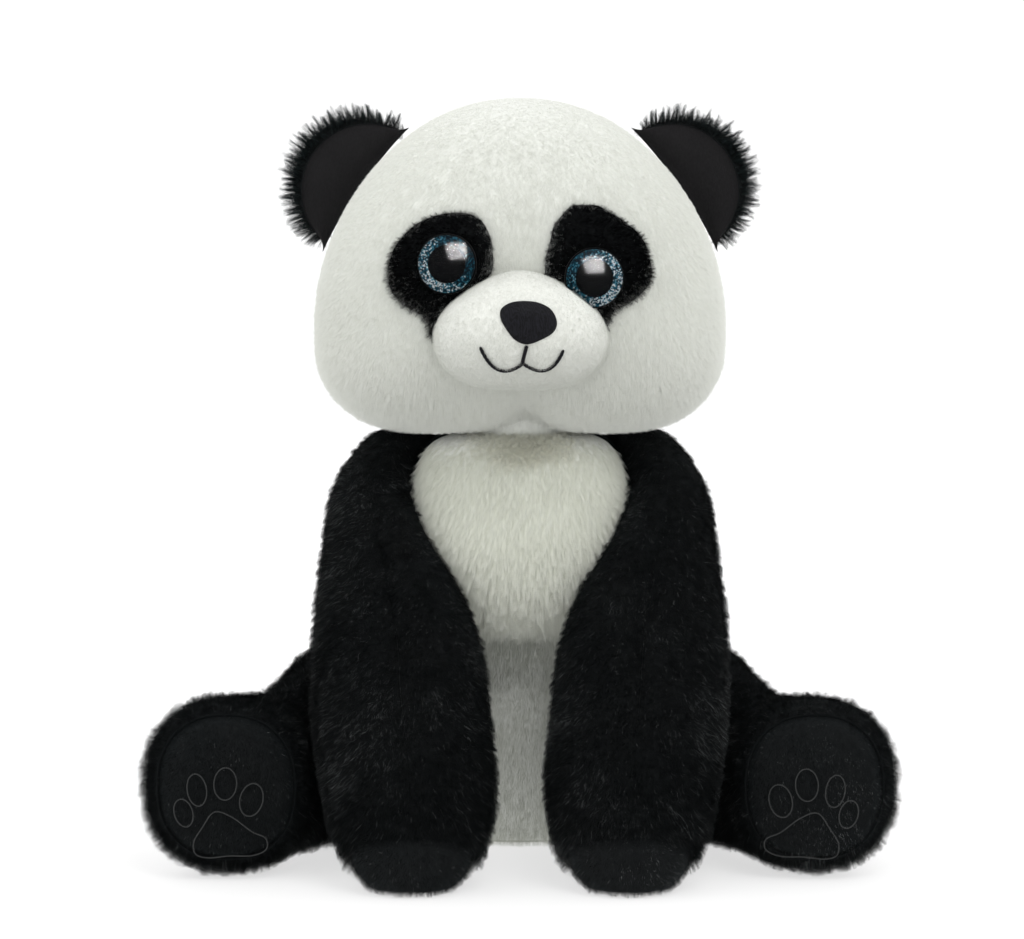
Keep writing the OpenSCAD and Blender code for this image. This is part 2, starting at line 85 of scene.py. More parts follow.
head_w, head_h, head_d = 170.0, 136.0, 140.0
head_y, head_z, head_droop = -5.0, 250.0, 28.0
head_power, head_side_power = 2.4, 2.3
head_form = form([[-head_droop * (i / 8 - 1) ** 2, 0, head_h / 2, head_d / 2, 0] for i in range(17)],
                 head_w, (head_power, head_power), head_side_power, (-head_w / 2, head_y, head_z),
                 SIDEWAYS_AXES)

# The soft chest, shoulders and arm tops stand a little proud of the CAD's, up to the head.
torso_top, torso_base = 179.5, -14.0
torso_form = form([[0, 44, 44, 40, 0], [0, 44, 48, 46, 0], [0, 44, 49, 49, 0], [0, 43.5, 49, 49, 0],
                   [0, 40, 47.5, 46, 0], [0, 18, 46, 53, 0], [0, 8, 48.5, 53, 0], [0, 5, 50, 47, 0],
                   [0, 4, 49, 42, 0]],
                  torso_top - torso_base, (5, 7), 2.2, (0, 0, torso_base), UP_AXES)

arm_form = form([[0, 0, 37, 30, 0], [0, 0, 39, 30, 0], [-1.5, 0, 38, 29, 0.05],
                 [-4.5, 0, 36.5, 28.5, 0.1], [-6.5, 0, 35.5, 28, 0.25], [-10.5, 0, 31, 28, 0.35],
                 [-15.5, 0, 23.5, 29, 0.3], [-16.5, 0, 20, 29, 0], [-5, 0, 22.5, 29, 0]],
                209.5, (2.6, 7), 2.2, (-43.6, -98.4, -2), ARM_AXES)

foot_x, foot_rx, foot_rz, sole_y, leg_len = 118.8, 35.7, 38.0, -72.0, 138.0
leg_form = form([[0, 0, foot_rx, foot_rz, 0], [0, 0.5, 35.5, 37.5, 0], [17, 1, 24, 34, 0],
                 [32, -4, 22, 39, 0], [39, -6, 25, 41.5, 0], [42, -4, 25, 37, 0], [42, -2, 16, 24, 0]],
                leg_len, (5, 5), 2.3, (-foot_x, sole_y, foot_rz), BACK_AXES)

tail_form = form([[0, 0, 6, 6, 0], [0, 0, 11, 10, 0], [0, 0, 16.5, 14.5, 0], [0, 0, 17, 15, 0],
                  [0, 0, 15, 13, 0]],
                 13.2, (head_power, head_power), 2, (0, 93.9, 32), BACK_AXES)

neck_r, neck_z = 22.0, 179.0
NECK = np.array([0, 0, neck_z])


def signed_pow(v, p):
    return np.sign(v) * np.abs(v) ** p


def catmull_rom(a, b, c, d, t):
    """The smooth curve from b to c, at t from 0 to 1, with a before them and d after."""
    return b + 0.5 * t * ((c - a) + t * ((2 * a - 5 * b + 4 * c - d) + t * (3 * (b - c) + d - a)))


def row_at(rows, s):
    """The smooth curve through evenly spaced rows, at s from 0 to 1."""
    n = len(rows) - 1
    f = np.clip(s, 0, 1) * n
    i = np.minimum(f.astype(int), n - 1)
    t = (f - i)[..., None]
    return catmull_rom(rows[np.maximum(i - 1, 0)], rows[i], rows[i + 1], rows[np.minimum(i + 2, n)], t)


def end_scale(c, power):
    """How wide a form is at c, from -1 at its first end to 1 at its last."""
    return np.maximum(0, 1 - np.abs(c) ** power) ** (1 / power)


def form_points(shape, angle, turn, depth=0.0):
    """Points of a form: angle from its first pole, turn round the ring, and depth under it."""
    angle, turn = np.broadcast_arrays(np.asarray(angle, float), np.asarray(turn, float))
    c = -np.cos(np.radians(angle))
    s = (c + 1) / 2
    e = end_scale(c, np.where(c > 0, shape.end_powers[1], shape.end_powers[0]))
    row = row_at(shape.rows, s)
    q = 2 / shape.side_power
    u = np.radians(turn)
    da = (row[..., 2] - depth) * e * signed_pow(np.cos(u), q)
    db = (row[..., 3] - depth) * e * signed_pow(np.sin(u), q) - row[..., 4] * np.maximum(0, da)
    along = depth + s * (shape.length - 2 * depth)
    p = (shape.start + (row[..., 0] + da)[..., None] * shape.axes[0]
         + (row[..., 1] + db)[..., None] * shape.axes[1] + along[..., None] * shape.axes[2])
    p[..., 2] = np.maximum(p[..., 2], depth)
    return p


def torso_angle(z):
    """The torso form's angle at height z."""
    return math.degrees(math.acos(1 - 2 * (z - torso_base) / (torso_top - torso_base)))


def face_y(x, z, out=0.0):
    """y of the head's front surface at x and z, moved forward by out."""
    c = x / (head_w / 2)
    e = end_scale(c, head_power)
    dz = (z - head_z + head_droop * c * c) / (head_h / 2 * e)
    return head_y - head_d / 2 * e * end_scale(np.clip(dz, -1, 1), head_side_power) - out


# ---- grids of points ---------------------------------------------------------------------

def running_length(points, axis):
    """Distance along one axis of a grid, starting at 0."""
    steps = np.linalg.norm(np.diff(points, axis=axis), axis=-1)
    pad = [(0, 0)] * steps.ndim
    pad[axis] = (1, 0)
    return np.cumsum(np.pad(steps, pad), axis=axis)


def even_turns(shape, angle, turn_0, turn_1, step, closed):
    """Turns that are evenly spaced along the surface at one ring of a form."""
    fine = np.linspace(turn_0, turn_1, 361)
    length = running_length(form_points(shape, angle, fine), 0)
    count = max(6, int(round(length[-1] / step)))
    even = np.interp(np.linspace(0, length[-1], count + 1), length, fine)
    return even[:-1] if closed else even


def panel_points(shape, low, high, turn_0, turn_1, step, depth, closed=False, widest=90.0):
    """Two grids of points, at each depth, evenly spaced from low to high at every turn."""
    turns = even_turns(shape, widest, turn_0, turn_1, step, closed)
    lows = np.array([low(t) if callable(low) else low for t in turns])
    highs = np.array([high(t) if callable(high) else high for t in turns])
    warp = np.sin(np.linspace(0, math.pi / 2, 241)) ** 2
    angles = lows + (highs - lows) * warp[:, None]
    length = running_length(form_points(shape, angles, turns), 0)
    count = max(3, int(round(length[-1].max() / step)))
    share = np.linspace(0, 1, count + 1)
    even = np.stack([np.interp(share * length[-1, j], length[:, j], angles[:, j])
                     for j in range(len(turns))], axis=1)
    return [form_points(shape, even, turns, d) for d in depth]


def normals_of(grid, closed):
    """Outward unit normals of a grid of points."""
    if closed:
        wide = np.concatenate([grid[:, -1:], grid, grid[:, :1]], axis=1)
        across = (wide[:, 2:] - wide[:, :-2])
    else:
        across = np.gradient(grid, axis=1)
    along = np.gradient(grid, axis=0)
    n = np.cross(across, along)
    return n / np.maximum(np.linalg.norm(n, axis=-1, keepdims=True), 1e-9)


def edge_distance(grid, sides):
    """Distance of each grid point from the named edges: low, high, left and right."""
    down, across = running_length(grid, 0), running_length(grid, 1)
    found = {"low": down, "high": down[-1:] - down, "left": across, "right": across[:, -1:] - across}
    return np.min([found[s] for s in sides], axis=0) if sides else np.full(grid.shape[:2], 1e3)


def on_side(side, *grids):
    """Grids drawn on the left, or on the right their mirror images, still facing outward."""
    return grids if side == LEFT else [(grid * [-1, 1, 1])[:, ::-1] for grid in grids]


# ---- noise -------------------------------------------------------------------------------

def lattice(cell, seed):
    """A value from 0 to 1 for each whole-numbered cell, mixed from its coordinates."""
    h = (cell[..., 0] * 374761393 + cell[..., 1] * 668265263 + cell[..., 2] * 1440662683
         + seed * 974634777) & 0xFFFFFFFF
    h = ((h ^ (h >> 13)) * 1274126177) & 0xFFFFFFFF
    return ((h ^ (h >> 16)) & 0xFFFF) / 65535.0


def noise(points, seed):
    """Smooth value noise from 0 to 1, with cells one unit wide."""
    cell = np.floor(points).astype(np.int64)
    f = points - cell
    f = f * f * (3 - 2 * f)
    total = 0.0
    for corner in np.ndindex(2, 2, 2):
        weight = np.prod([f[..., k] if corner[k] else 1 - f[..., k] for k in range(3)], axis=0)
        total = total + weight * lattice(cell + np.array(corner), seed)
    return total


def unit(v):
    v = np.array(v, float)
    return v / np.linalg.norm(v)


def locks(points, lie, size, stretch, seed):
    """Soft locks in the pile, from -0.5 to 0.5, drawn out along the way that it lies."""
    lie = unit(lie)
    drawn = points - (1 - 1 / stretch) * (points @ lie)[..., None] * lie
    sway = noise(points / (6 * size), seed + 2)[..., None] - 0.5
    drawn = drawn + 1.2 * size * sway
    return 0.65 * noise(drawn / size, seed) + 0.35 * noise(drawn * 2.1 / size, seed + 1) - 0.5


# ---- meshes ------------------------------------------------------------------------------

def new_mesh(name, points, faces):
    mesh = bpy.data.meshes.new(name)
    mesh.from_pydata((np.asarray(points) * MM).tolist(), [], faces)
    mesh.update()
    mesh.polygons.foreach_set("use_smooth", [True] * len(mesh.polygons))
    piece = bpy.data.objects.new(name, mesh)
    bpy.context.scene.collection.objects.link(piece)
    return piece


def add_group(piece, name, weights):
    """A vertex group of the piece's first points, without those whose weight is next to 0."""
    group = piece.vertex_groups.new(name=name)
    for i in np.nonzero(weights > 0.02)[0]:
        group.add([int(i)], float(weights[i]), "REPLACE")


def quads(a, b, c, d):
    return np.stack([a, b, c, d], axis=-1).reshape(-1, 4).tolist()


def sheet(name, cloth, outer, inner, closed=False, pole=False):
    """A closed skin between two grids. Its group "outer" holds the points of the outer face.

    The rims have points of their own, so that the faces stay smooth right up to a seam.
    """
    rows, cols = outer.shape[:2]
    index = np.arange(rows * cols).reshape(rows, cols)
    if closed:
        index = np.concatenate([index, index[:, :1]], axis=1)
    back = index + rows * cols
    points = [outer.reshape(-1, 3), inner.reshape(-1, 3)]
    faces = quads(index[:-1, :-1], index[:-1, 1:], index[1:, 1:], index[1:, :-1])
    faces += quads(back[:-1, :-1], back[1:, :-1], back[1:, 1:], back[:-1, 1:])

    def rim(edge, back_edge):
        start = sum(len(p) for p in points)
        points.extend([edge, back_edge])
        front = np.arange(len(edge)) + start
        rear = front + len(edge)
        return quads(front[:-1], front[1:], rear[1:], rear[:-1])

    def ring(edge):
        return np.concatenate([edge, edge[:1]]) if closed else edge

    faces += rim(ring(outer[-1]), ring(inner[-1]))
    if not closed:
        faces += rim(outer[:, 0], inner[:, 0])
        faces += rim(outer[::-1, -1], inner[::-1, -1])
    if pole:
        tip = sum(len(p) for p in points)
        points.append(np.stack([outer[0].mean(0), inner[0].mean(0)]))
        faces += [[int(j), int(i), tip] for i, j in zip(index[0, :-1], index[0, 1:])]
        faces += [[int(i), int(j), tip + 1] for i, j in zip(back[0, :-1], back[0, 1:])]
    else:
        faces += rim(ring(outer[0])[::-1], ring(inner[0])[::-1])
    piece = new_mesh(name, np.concatenate(points), faces)
    piece.data.materials.append(cloth)
    add_group(piece, "outer", np.ones(rows * cols))
    return piece


def skin(name, cloth, outer, inner, closed=False, pole=False, lie=(0, 0, -1),
         lock=(0.6, 3.0, 2.4), seams=(), valley=(1.2, 3.0), seed=1):
    """A pile panel: its outer face has locks, and it dips where it is sewn to its neighbours."""
    height, size, stretch = lock
    dip, reach = valley
    n = normals_of(outer, closed)
    d = edge_distance(outer, seams)
    at_seam = np.exp(-((d / reach) ** 2))
    rise = (1 - at_seam) * height * locks(outer, lie, size, stretch, seed) - dip * at_seam
    if pole:
        rise[0] = rise[0].mean()
    shaped = outer + n * rise[..., None]
    shaped[..., 2] = np.maximum(shaped[..., 2], FLOOR_GAP)
    piece = sheet(name, cloth, shaped, inner, closed, pole)
    piece["area"] = float((np.linalg.norm(np.cross(
        np.gradient(outer, axis=0), np.gradient(outer, axis=1)), axis=-1)).sum())
    return piece


def ring_faces(rows, cols):
    """Faces of a tube or turned piece: its wall and both its ends."""
    index = np.arange(rows * cols).reshape(rows, cols)
    index = np.concatenate([index, index[:, :1]], axis=1)
    wall = quads(index[:-1, :-1], index[:-1, 1:], index[1:, 1:], index[1:, :-1])
    return [*wall, index[0, :-1][::-1].tolist(), index[-1, :-1].tolist()]


def tube(points, r, sides=8):
    """Points and faces of a tube along a path, closed at both ends."""
    points = np.asarray(points, float)
    t = np.gradient(points, axis=0)
    t /= np.linalg.norm(t, axis=1, keepdims=True)
    out = np.array([0.0, -1.0, 0.0]) + t * t[:, 1:2]
    out /= np.maximum(np.linalg.norm(out, axis=1, keepdims=True), 1e-6)
    side = np.cross(t, out)
    a = np.linspace(0, 2 * math.pi, sides, endpoint=False)
    r = np.broadcast_to(np.asarray(r, float), (len(points),))
    ring = (points[:, None] + r[:, None, None] * (out[:, None] * np.cos(a)[None, :, None]
                                                   + side[:, None] * np.sin(a)[None, :, None]))
    return ring.reshape(-1, 3), ring_faces(len(points), sides)


def tubes(name, paths, r, sides=8):
    """One piece made of several tubes."""
    points, faces = [], []
    for path in paths:
        more, their = tube(path, r if np.isscalar(r) else r[:len(path)], sides)
        start = sum(len(p) for p in points)
        points.append(more)
        faces += [[k + start for k in f] for f in their]
    return new_mesh(name, np.concatenate(points), faces)


def lathe(name, profile, place, turns=96):
    """A turned piece from (radius, height) points. place moves points to where it stands."""
    profile = np.asarray(profile, float)
    a = np.linspace(0, 2 * math.pi, turns, endpoint=False)
    ring = np.stack([profile[:, 0:1] * np.cos(a), profile[:, 0:1] * np.sin(a),
                     np.repeat(profile[:, 1:2], turns, axis=1)], axis=-1)
    return new_mesh(name, place(ring.reshape(-1, 3)), ring_faces(len(profile), turns))


# ---- materials ---------------------------------------------------------------------------

def material(name):
    mat = bpy.data.materials.new(name)
    mat.use_nodes = True
    nt = mat.node_tree
    return mat, nt, nt.nodes["Principled BSDF"]


def node(nt, kind, **values):
    made = nt.nodes.new(kind)
    for key, value in values.items():
        if key in made.inputs:
            made.inputs[key].default_value = value
        else:
            setattr(made, key, value)
    return made


def ramp(nt, factor, stops):
    made = nt.nodes.new("ShaderNodeValToRGB")
    while len(made.color_ramp.elements) < len(stops):
        made.color_ramp.elements.new(0.5)
    for element, (at, colour) in zip(made.color_ramp.elements, stops):
        element.position = at
        element.color = (*colour, 1)
    nt.links.new(factor, made.inputs["Fac"])
    return made.outputs["Color"]


def object_coords(nt, scale=(1, 1, 1)):
    coords = nt.nodes.new("ShaderNodeTexCoord")
    mapping = nt.nodes.new("ShaderNodeMapping")
    mapping.inputs["Scale"].default_value = scale
    nt.links.new(coords.outputs["Object"], mapping.inputs["Vector"])
    return mapping.outputs["Vector"]


def add_noise(nt, vector, scale, detail=3.0, rough=0.6):
    made = node(nt, "ShaderNodeTexNoise", Scale=scale, Detail=detail, Roughness=rough)
    nt.links.new(vector, made.inputs["Vector"])
    return made.outputs["Fac"]


def feed(nt, socket, value):
    """Gives a socket a number, a colour or another node's output."""
    if isinstance(value, (int, float)):
        socket.default_value = value
    elif isinstance(value, tuple):
        socket.default_value = (*value, 1)
    else:
        nt.links.new(value, socket)


def mix_colour(nt, factor, a, b):
    made = nt.nodes.new("ShaderNodeMix")
    made.data_type = "RGBA"
    feed(nt, made.inputs[0], factor)
    feed(nt, made.inputs[6], a)
    feed(nt, made.inputs[7], b)
    return made.outputs[2]


def mix_shaders(nt, factor, a, b):
    """Makes the surface a mix of two shader nodes."""
    both = nt.nodes.new("ShaderNodeMixShader")
    feed(nt, both.inputs["Fac"], factor)
    nt.links.new(a.outputs[0], both.inputs[1])
    nt.links.new(b.outputs[0], both.inputs[2])
    nt.links.new(both.outputs[0], nt.nodes["Material Output"].inputs["Surface"])


def maths(nt, operation, *values):
    made = node(nt, "ShaderNodeMath", operation=operation)
    for socket, value in zip(made.inputs, values):
        feed(nt, socket, value)
    return made.outputs[0]


def remap(nt, value, low, high, to_low, to_high):
    """The value moved from the range low..high to to_low..to_high."""
    made = nt.nodes.new("ShaderNodeMapRange")
    nt.links.new(value, made.inputs["Value"])
    for name, number in (("From Min", low), ("From Max", high), ("To Min", to_low), ("To Max", to_high)):
        made.inputs[name].default_value = number
    return made.outputs["Result"]


def mottle(nt, bsdf, scale, detail, stops):
    """Colours a plain surface with soft noise."""
    soft = add_noise(nt, object_coords(nt), scale, detail)
    nt.links.new(ramp(nt, soft, stops), bsdf.inputs["Base Color"])


def bump(nt, bsdf, height, strength, distance):
    made = node(nt, "ShaderNodeBump", Strength=strength, Distance=distance)
    nt.links.new(height, made.inputs["Height"])
    nt.links.new(made.outputs["Normal"], bsdf.inputs["Normal"])


def pile_cloth(name, dark, light, nap=700.0, tint=None, relief=0.5, sheen=0.35, sheen_tint=(1, 1, 1)):
    """The cloth under the strands: fine nap, broad shading and a soft sheen."""
    mat, nt, bsdf = material(name)
    coords = object_coords(nt)
    broad = add_noise(nt, coords, 28, 4)
    fine = add_noise(nt, object_coords(nt, (1, 1, 0.45)), nap, 3)
    colour = ramp(nt, fine, [(0.3, dark), (0.72, light)])
    shade = ramp(nt, broad, [(0.35, tint or dark), (0.65, light)])
    nt.links.new(mix_colour(nt, 0.35, colour, shade), bsdf.inputs["Base Color"])
    bsdf.inputs["Roughness"].default_value = 0.95
    bsdf.inputs["Specular IOR Level"].default_value = 0.2
    bsdf.inputs["Sheen Weight"].default_value = sheen
    bsdf.inputs["Sheen Roughness"].default_value = 0.5
    bsdf.inputs["Sheen Tint"].default_value = (*sheen_tint, 1)
    bump(nt, bsdf, fine, relief, 0.0004)
    return mat


def strands(name, root, tip, odd, odd_share=0.02, rough=0.6, shine=0.3, through=0.0,
            dust_and_sheen=None, dust_and_sheen_share=0.0):
    """Strands of pile: darker at the root, each a little different, a few of an odd colour.

    With dust_and_sheen, some areas of the pile are lighter, partly dusted and partly painted sheen: more of
    their strands have the odd colour.
    """
    mat, nt, bsdf = material(name)
    info = nt.nodes.new("ShaderNodeHairInfo")
    colour = ramp(nt, info.outputs["Intercept"], [(0.0, root), (0.75, tip)])
    stray = ramp(nt, info.outputs["Random"], [(1 - odd_share, (0, 0, 0)),
                                              (1 - odd_share + 0.01, (1, 1, 1))])
    if dust_and_sheen is not None:
        # Lighter areas of the pile: partly dusted, partly painted sheen.
        areas = add_noise(nt, object_coords(nt), 22, 6, 0.7)
        dust_and_sheen_mask = ramp(nt, areas, [(0.50, (0, 0, 0)), (0.66, (1, 1, 1))])
        more = ramp(nt, info.outputs["Random"], [(1 - dust_and_sheen_share, (0, 0, 0)),
                                                 (1 - dust_and_sheen_share / 2, (1, 1, 1))])
        stray = mix_colour(nt, dust_and_sheen_mask, stray, more)
        colour = mix_colour(nt, dust_and_sheen_mask, colour, mix_colour(nt, 0.5, colour, dust_and_sheen))
    nt.links.new(mix_colour(nt, stray, colour, odd), bsdf.inputs["Base Color"])
    bsdf.inputs["Roughness"].default_value = rough
    bsdf.inputs["Specular IOR Level"].default_value = shine
    if through:
        glow = nt.nodes.new("ShaderNodeBsdfTranslucent")
        glow.inputs["Color"].default_value = (*tip, 1)
        mix_shaders(nt, through, bsdf, glow)
    return mat


TEAL = (0.55, 0.9, 1.0)

WHITE_CLOTH = pile_cloth("white_cloth", (0.60, 0.61, 0.575), (0.80, 0.815, 0.775),
                         tint=(0.69, 0.70, 0.66))
BLACK_CLOTH = pile_cloth("black_cloth", (0.0012, 0.0016, 0.0018), (0.005, 0.0058, 0.0062),
                         tint=(0.001, 0.0024, 0.003), sheen=0.02, sheen_tint=TEAL)
SOLE_CLOTH = pile_cloth("sole_cloth", (0.0014, 0.0018, 0.002), (0.0055, 0.0062, 0.0066), nap=1100,
                        tint=(0.001, 0.0026, 0.0032), sheen=0.03, sheen_tint=TEAL)
VELVET_CLOTH = pile_cloth("velvet_cloth", (0.0035, 0.0034, 0.0037), (0.010, 0.0095, 0.0102),
                          nap=1600, tint=(0.0045, 0.0043, 0.0047), relief=0.25, sheen=0.05,
                          sheen_tint=(0.8, 0.8, 0.9))
MINKY_CLOTH = pile_cloth("minky_cloth", (0.62, 0.63, 0.59), (0.79, 0.80, 0.755), nap=1300,
                         tint=(0.68, 0.69, 0.65), relief=0.5)
FILL_FIBRE = pile_cloth("fill_fibre", (0.62, 0.62, 0.60), (0.88, 0.88, 0.86), nap=300, relief=0.9)

WHITE_STRANDS = strands("white_strands", (0.70, 0.705, 0.67), (0.875, 0.885, 0.85),
                        (0.75, 0.75, 0.70), through=0.33)
MINKY_STRANDS = strands("minky_strands", (0.57, 0.58, 0.545), (0.725, 0.735, 0.695),
                        (0.60, 0.60, 0.56), through=0.2)
CHEST_STRANDS = strands("chest_strands", (0.71, 0.72, 0.66), (0.93, 0.94, 0.89),
                        (0.78, 0.78, 0.71), odd_share=0.10, through=0.45)
THROAT_STRANDS = strands("throat_strands", (0.76, 0.755, 0.68), (0.92, 0.92, 0.86),
                         (0.78, 0.77, 0.68), odd_share=0.10, through=0.45)
# Painted shade: the lower belly's white strands are darker, for the shade under the overhanging chest,
# between the arms.
BELLY_SHADED_STRANDS = strands("belly_painted_shade_strands", (0.42, 0.43, 0.375), (0.58, 0.60, 0.535),
                        (0.50, 0.50, 0.45), through=0.2)
# The black pile's lighter areas are partly dusted, partly painted sheen.
BLACK_STRANDS = strands("black_strands", (0.0010, 0.0014, 0.0016), (0.0036, 0.0046, 0.0050),
                        (0.42, 0.44, 0.44), odd_share=0.010, rough=0.5, shine=0.10,
                        dust_and_sheen=(0.012, 0.014, 0.0145), dust_and_sheen_share=0.07)
EAR_STRANDS = strands("ear_strands", (0.0010, 0.0014, 0.0016), (0.008, 0.013, 0.014),
                      (0.060, 0.085, 0.085), odd_share=0.04, rough=0.5, shine=0.12)
PATCH_STRANDS = strands("patch_strands", (0.0008, 0.0008, 0.0009), (0.0022, 0.0022, 0.0026),
                        (0.060, 0.062, 0.064), odd_share=0.008, rough=0.6, shine=0.0)

# ---- strands -----------------------------------------------------------------------------

STRAND_KEYS = 3
GROWTH = 0.25  # a strand's length is its growing speed over this


def grow(piece, mat, per_mm2, length, lie, stand, width=0.11, children=24, clump=0.25,
         rough=0.3, loose=0.25, seed=1, name="pile"):
    """Grows strands on a piece's outer face. lie is their lean, and stand how upright they are."""
    piece.data.materials.append(mat)
    modifier = piece.modifiers.new(name, "PARTICLE_SYSTEM")
    system = modifier.particle_system
    system.seed = seed
    s = system.settings
    s.name = f"{piece.name}_{name}"
    s.type = "HAIR"
    s.use_advanced_hair = True
    s.count = max(50, int(piece["area"] * per_mm2 / children))
    s.hair_step = STRAND_KEYS
    s.render_step = 2
    s.display_step = 2
    s.distribution = "RAND"
    s.use_emit_random = True
    speed = GROWTH * length * MM
    s.normal_factor = speed * stand
    s.object_align_factor = tuple(speed * v for v in lie)
    s.factor_random = speed * loose
    s.effector_weights.gravity = 0
    s.child_type = "INTERPOLATED"
    s.rendered_child_count = children
    s.child_percent = 2
    s.clump_factor = clump
    s.clump_shape = 0.1
    s.roughness_1 = rough * length * MM
    s.roughness_1_size = 1.0
    s.roughness_2 = 0.5 * rough * length * MM
    s.roughness_2_size = 0.3
    s.roughness_endpoint = 0.3 * rough * length * MM
    s.root_radius = 1.0
    s.tip_radius = 0.25
    s.radius_scale = width * MM / 2
    s.use_close_tip = False
    s.material = len(piece.data.materials)
    system.vertex_group_density = name if name in piece.vertex_groups else "outer"
    if "length" in piece.vertex_groups:
        system.vertex_group_length = "length"
    return s


def sewn(piece, nodes, body=None, bend=None):
    """Hides the CAD nodes that a cloth piece replaces; attaches the piece to its body, or, given a bend,
    applies its placing to its points.
    """
    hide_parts(*nodes)
    if bend:
        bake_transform(piece)
    else:
        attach(piece, body)


def hard(piece, nodes, mat, body="head"):
    """Gives a piece of plastic or thread its material, hides the CAD nodes it replaces and attaches it to
    its body.
    """
    piece.data.materials.append(mat)
    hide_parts(*nodes)
    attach(piece, body)


# ---- panels, end caps and fillings ---------------------------------------------------------

CLOTH_DEPTH = 2.0      # the cloth lies this far under the CAD's surface, which the pile reaches
CLOTH_INNER = 3.4      # and its wrong side this far
SEAM = 0.02            # half a seam, in degrees round a form
PILE_DEPTHS = (CLOTH_DEPTH, CLOTH_INNER)
FIRST_POLE = 0.02      # where an end cap closes, in degrees from its form's first pole
LAST_POLE = 179.999    # where a limb's panels close at its body end
FILLING_DEPTH = 5.0    # the filling lies this far under the CAD's surface
FILLING_WALL = 8.0     # and its hollow middle this far under its own


def form_panel(name, cloth, shape, low, high, turn_0, turn_1, side=LEFT, depth=PILE_DEPTHS,
               step=CLOTH_STEP, **looks):
    """A panel of a form's skin, drawn on the left and mirrored for the right."""
    grids = panel_points(shape, low, high, turn_0 + SEAM, turn_1 - SEAM, step, depth)
    return skin(name, cloth, *on_side(side, *grids), **looks)


def end_cap(name, cloth, shape, high, side, **looks):
    """The skin of a form's first end, from its pole to a ring."""
    grids = panel_points(shape, FIRST_POLE, high, 0, 360, CLOTH_STEP, PILE_DEPTHS, closed=True,
                         widest=high)
    return skin(name, cloth, *on_side(side, *grids), closed=True, pole=True, **looks)


def filling(name, shape, nodes, body=None, bend=None, side=LEFT, depth=FILLING_DEPTH):
    """The soft filling under a form's skin: lumpy fibre."""
    grids = panel_points(shape, 0.05, 179.5, 0, 360, FILLING_STEP, (depth, depth + FILLING_WALL),
                         closed=True)
    piece = skin(name, FILL_FIBRE, *on_side(side, *grids), closed=True, pole=True, lock=(1.2, 9.0, 1.0))
    sewn(piece, nodes, body, bend)


# ---- torso -------------------------------------------------------------------------------

DOWN = (0, 0, -1)
# Angles of the torso's seams from its lower pole, and how far its front panels turn each way.
torso_floor, torso_neck, front_turn = 24, 179.3, 70
chest_hem, yoke_hem = torso_angle(98), torso_angle(112)
seat_heights = (0.3, 1.9)  # of the seat cloth's two faces

# The tuft at the throat: its half width, its lowest height and how far up it thickens.
throat_half, throat_low, throat_fade = 16, 164, 14

# The chin is drawn up in the middle. The cheeks hang on both sides of it, and the jaw narrows.
chin_x, chin_rise, chin_half, chin_z, chin_fade = 2.6, 5.0, 10.0, 203.0, 16
cheek_x, cheek_half, cheek_z, cheek_drop = 32, 22, 200, 1.6
jaw_z, jaw_fade, jaw_tuck = 208, 20, 0.045


def under_chin(piece):
    """How near each point of the chest is to the notch of the chin, from 0 to 1."""
    co = np.array([v.co for v in piece.data.vertices]) / MM
    near = np.exp(-((co[:, 0] - chin_x) / throat_half) ** 2)
    return near * np.clip((co[:, 2] - throat_low) / throat_fade, 0, 1)


def build_torso():
    torso = "torso"
    soft = dict(lie=DOWN, lock=(0.35, 3.4, 2.6), valley=(0.4, 2.4))
    chest = form_panel("chest_cloth", WHITE_CLOTH, torso_form, chest_hem, torso_neck,
                       270 - front_turn, 270 + front_turn, seams=("low",), seed=11, **soft)
    grow(chest, CHEST_STRANDS, 16.0, 6.2, (0, 0, -0.75), 0.5, width=0.075, children=20,
         clump=0.0, rough=0.2, loose=0.22, seed=11)
    add_group(chest, "throat", under_chin(chest))
    grow(chest, THROAT_STRANDS, 8.0, 7.0, (0, -0.15, -0.45), 0.45, width=0.08, children=16,
         clump=0.1, rough=0.25, loose=0.35, seed=9, name="throat")
    sewn(chest, ["chest_panel"], torso)

    belly = form_panel("belly_cloth", WHITE_CLOTH, torso_form, torso_floor, chest_hem,
                       270 - front_turn, 270 + front_turn, lie=DOWN, lock=(0.4, 3.0, 2.0),
                       seams=("low",), valley=(0.5, 2.4), seed=12)
    # Painted shade: the belly's strands are darker than the chest's.
    grow(belly, BELLY_SHADED_STRANDS, 5.0, 3.2, (0, 0, -0.75), 0.5, width=0.085, clump=0.1, seed=12)
    sewn(belly, ["belly_panel"], torso)

    for side in SIDES:
        there = SIDE_NAMES[side]
        back = form_panel(f"back_cloth_{there}", WHITE_CLOTH, torso_form, torso_floor, yoke_hem,
                          90, 270 - front_turn, side, seams=("high", "left", "right"),
                          seed=13 + side, **soft)
        grow(back, WHITE_STRANDS, 9.0, 4.6, (0, 0, -0.7), 0.55, width=0.09, clump=0.0,
             children=16, rough=0.2, seed=13 + side)
        sewn(back, [f"back_panel_{there}"], torso)
        yoke = form_panel(f"yoke_cloth_{there}", BLACK_CLOTH, torso_form, yoke_hem, torso_neck,
                          90, 270 - front_turn, side, seams=("low", "left", "right"),
                          seed=16 + side, **soft)
        grow(yoke, BLACK_STRANDS, 8.0, 4.6, (0, 0, -0.7), 0.6, width=0.09, clump=0.1,
             seed=16 + side)
        sewn(yoke, [f"yoke_panel_{there}"], torso)

    build_seat()
    filling("torso_filling", torso_form, ["torso_stuffing"], torso)


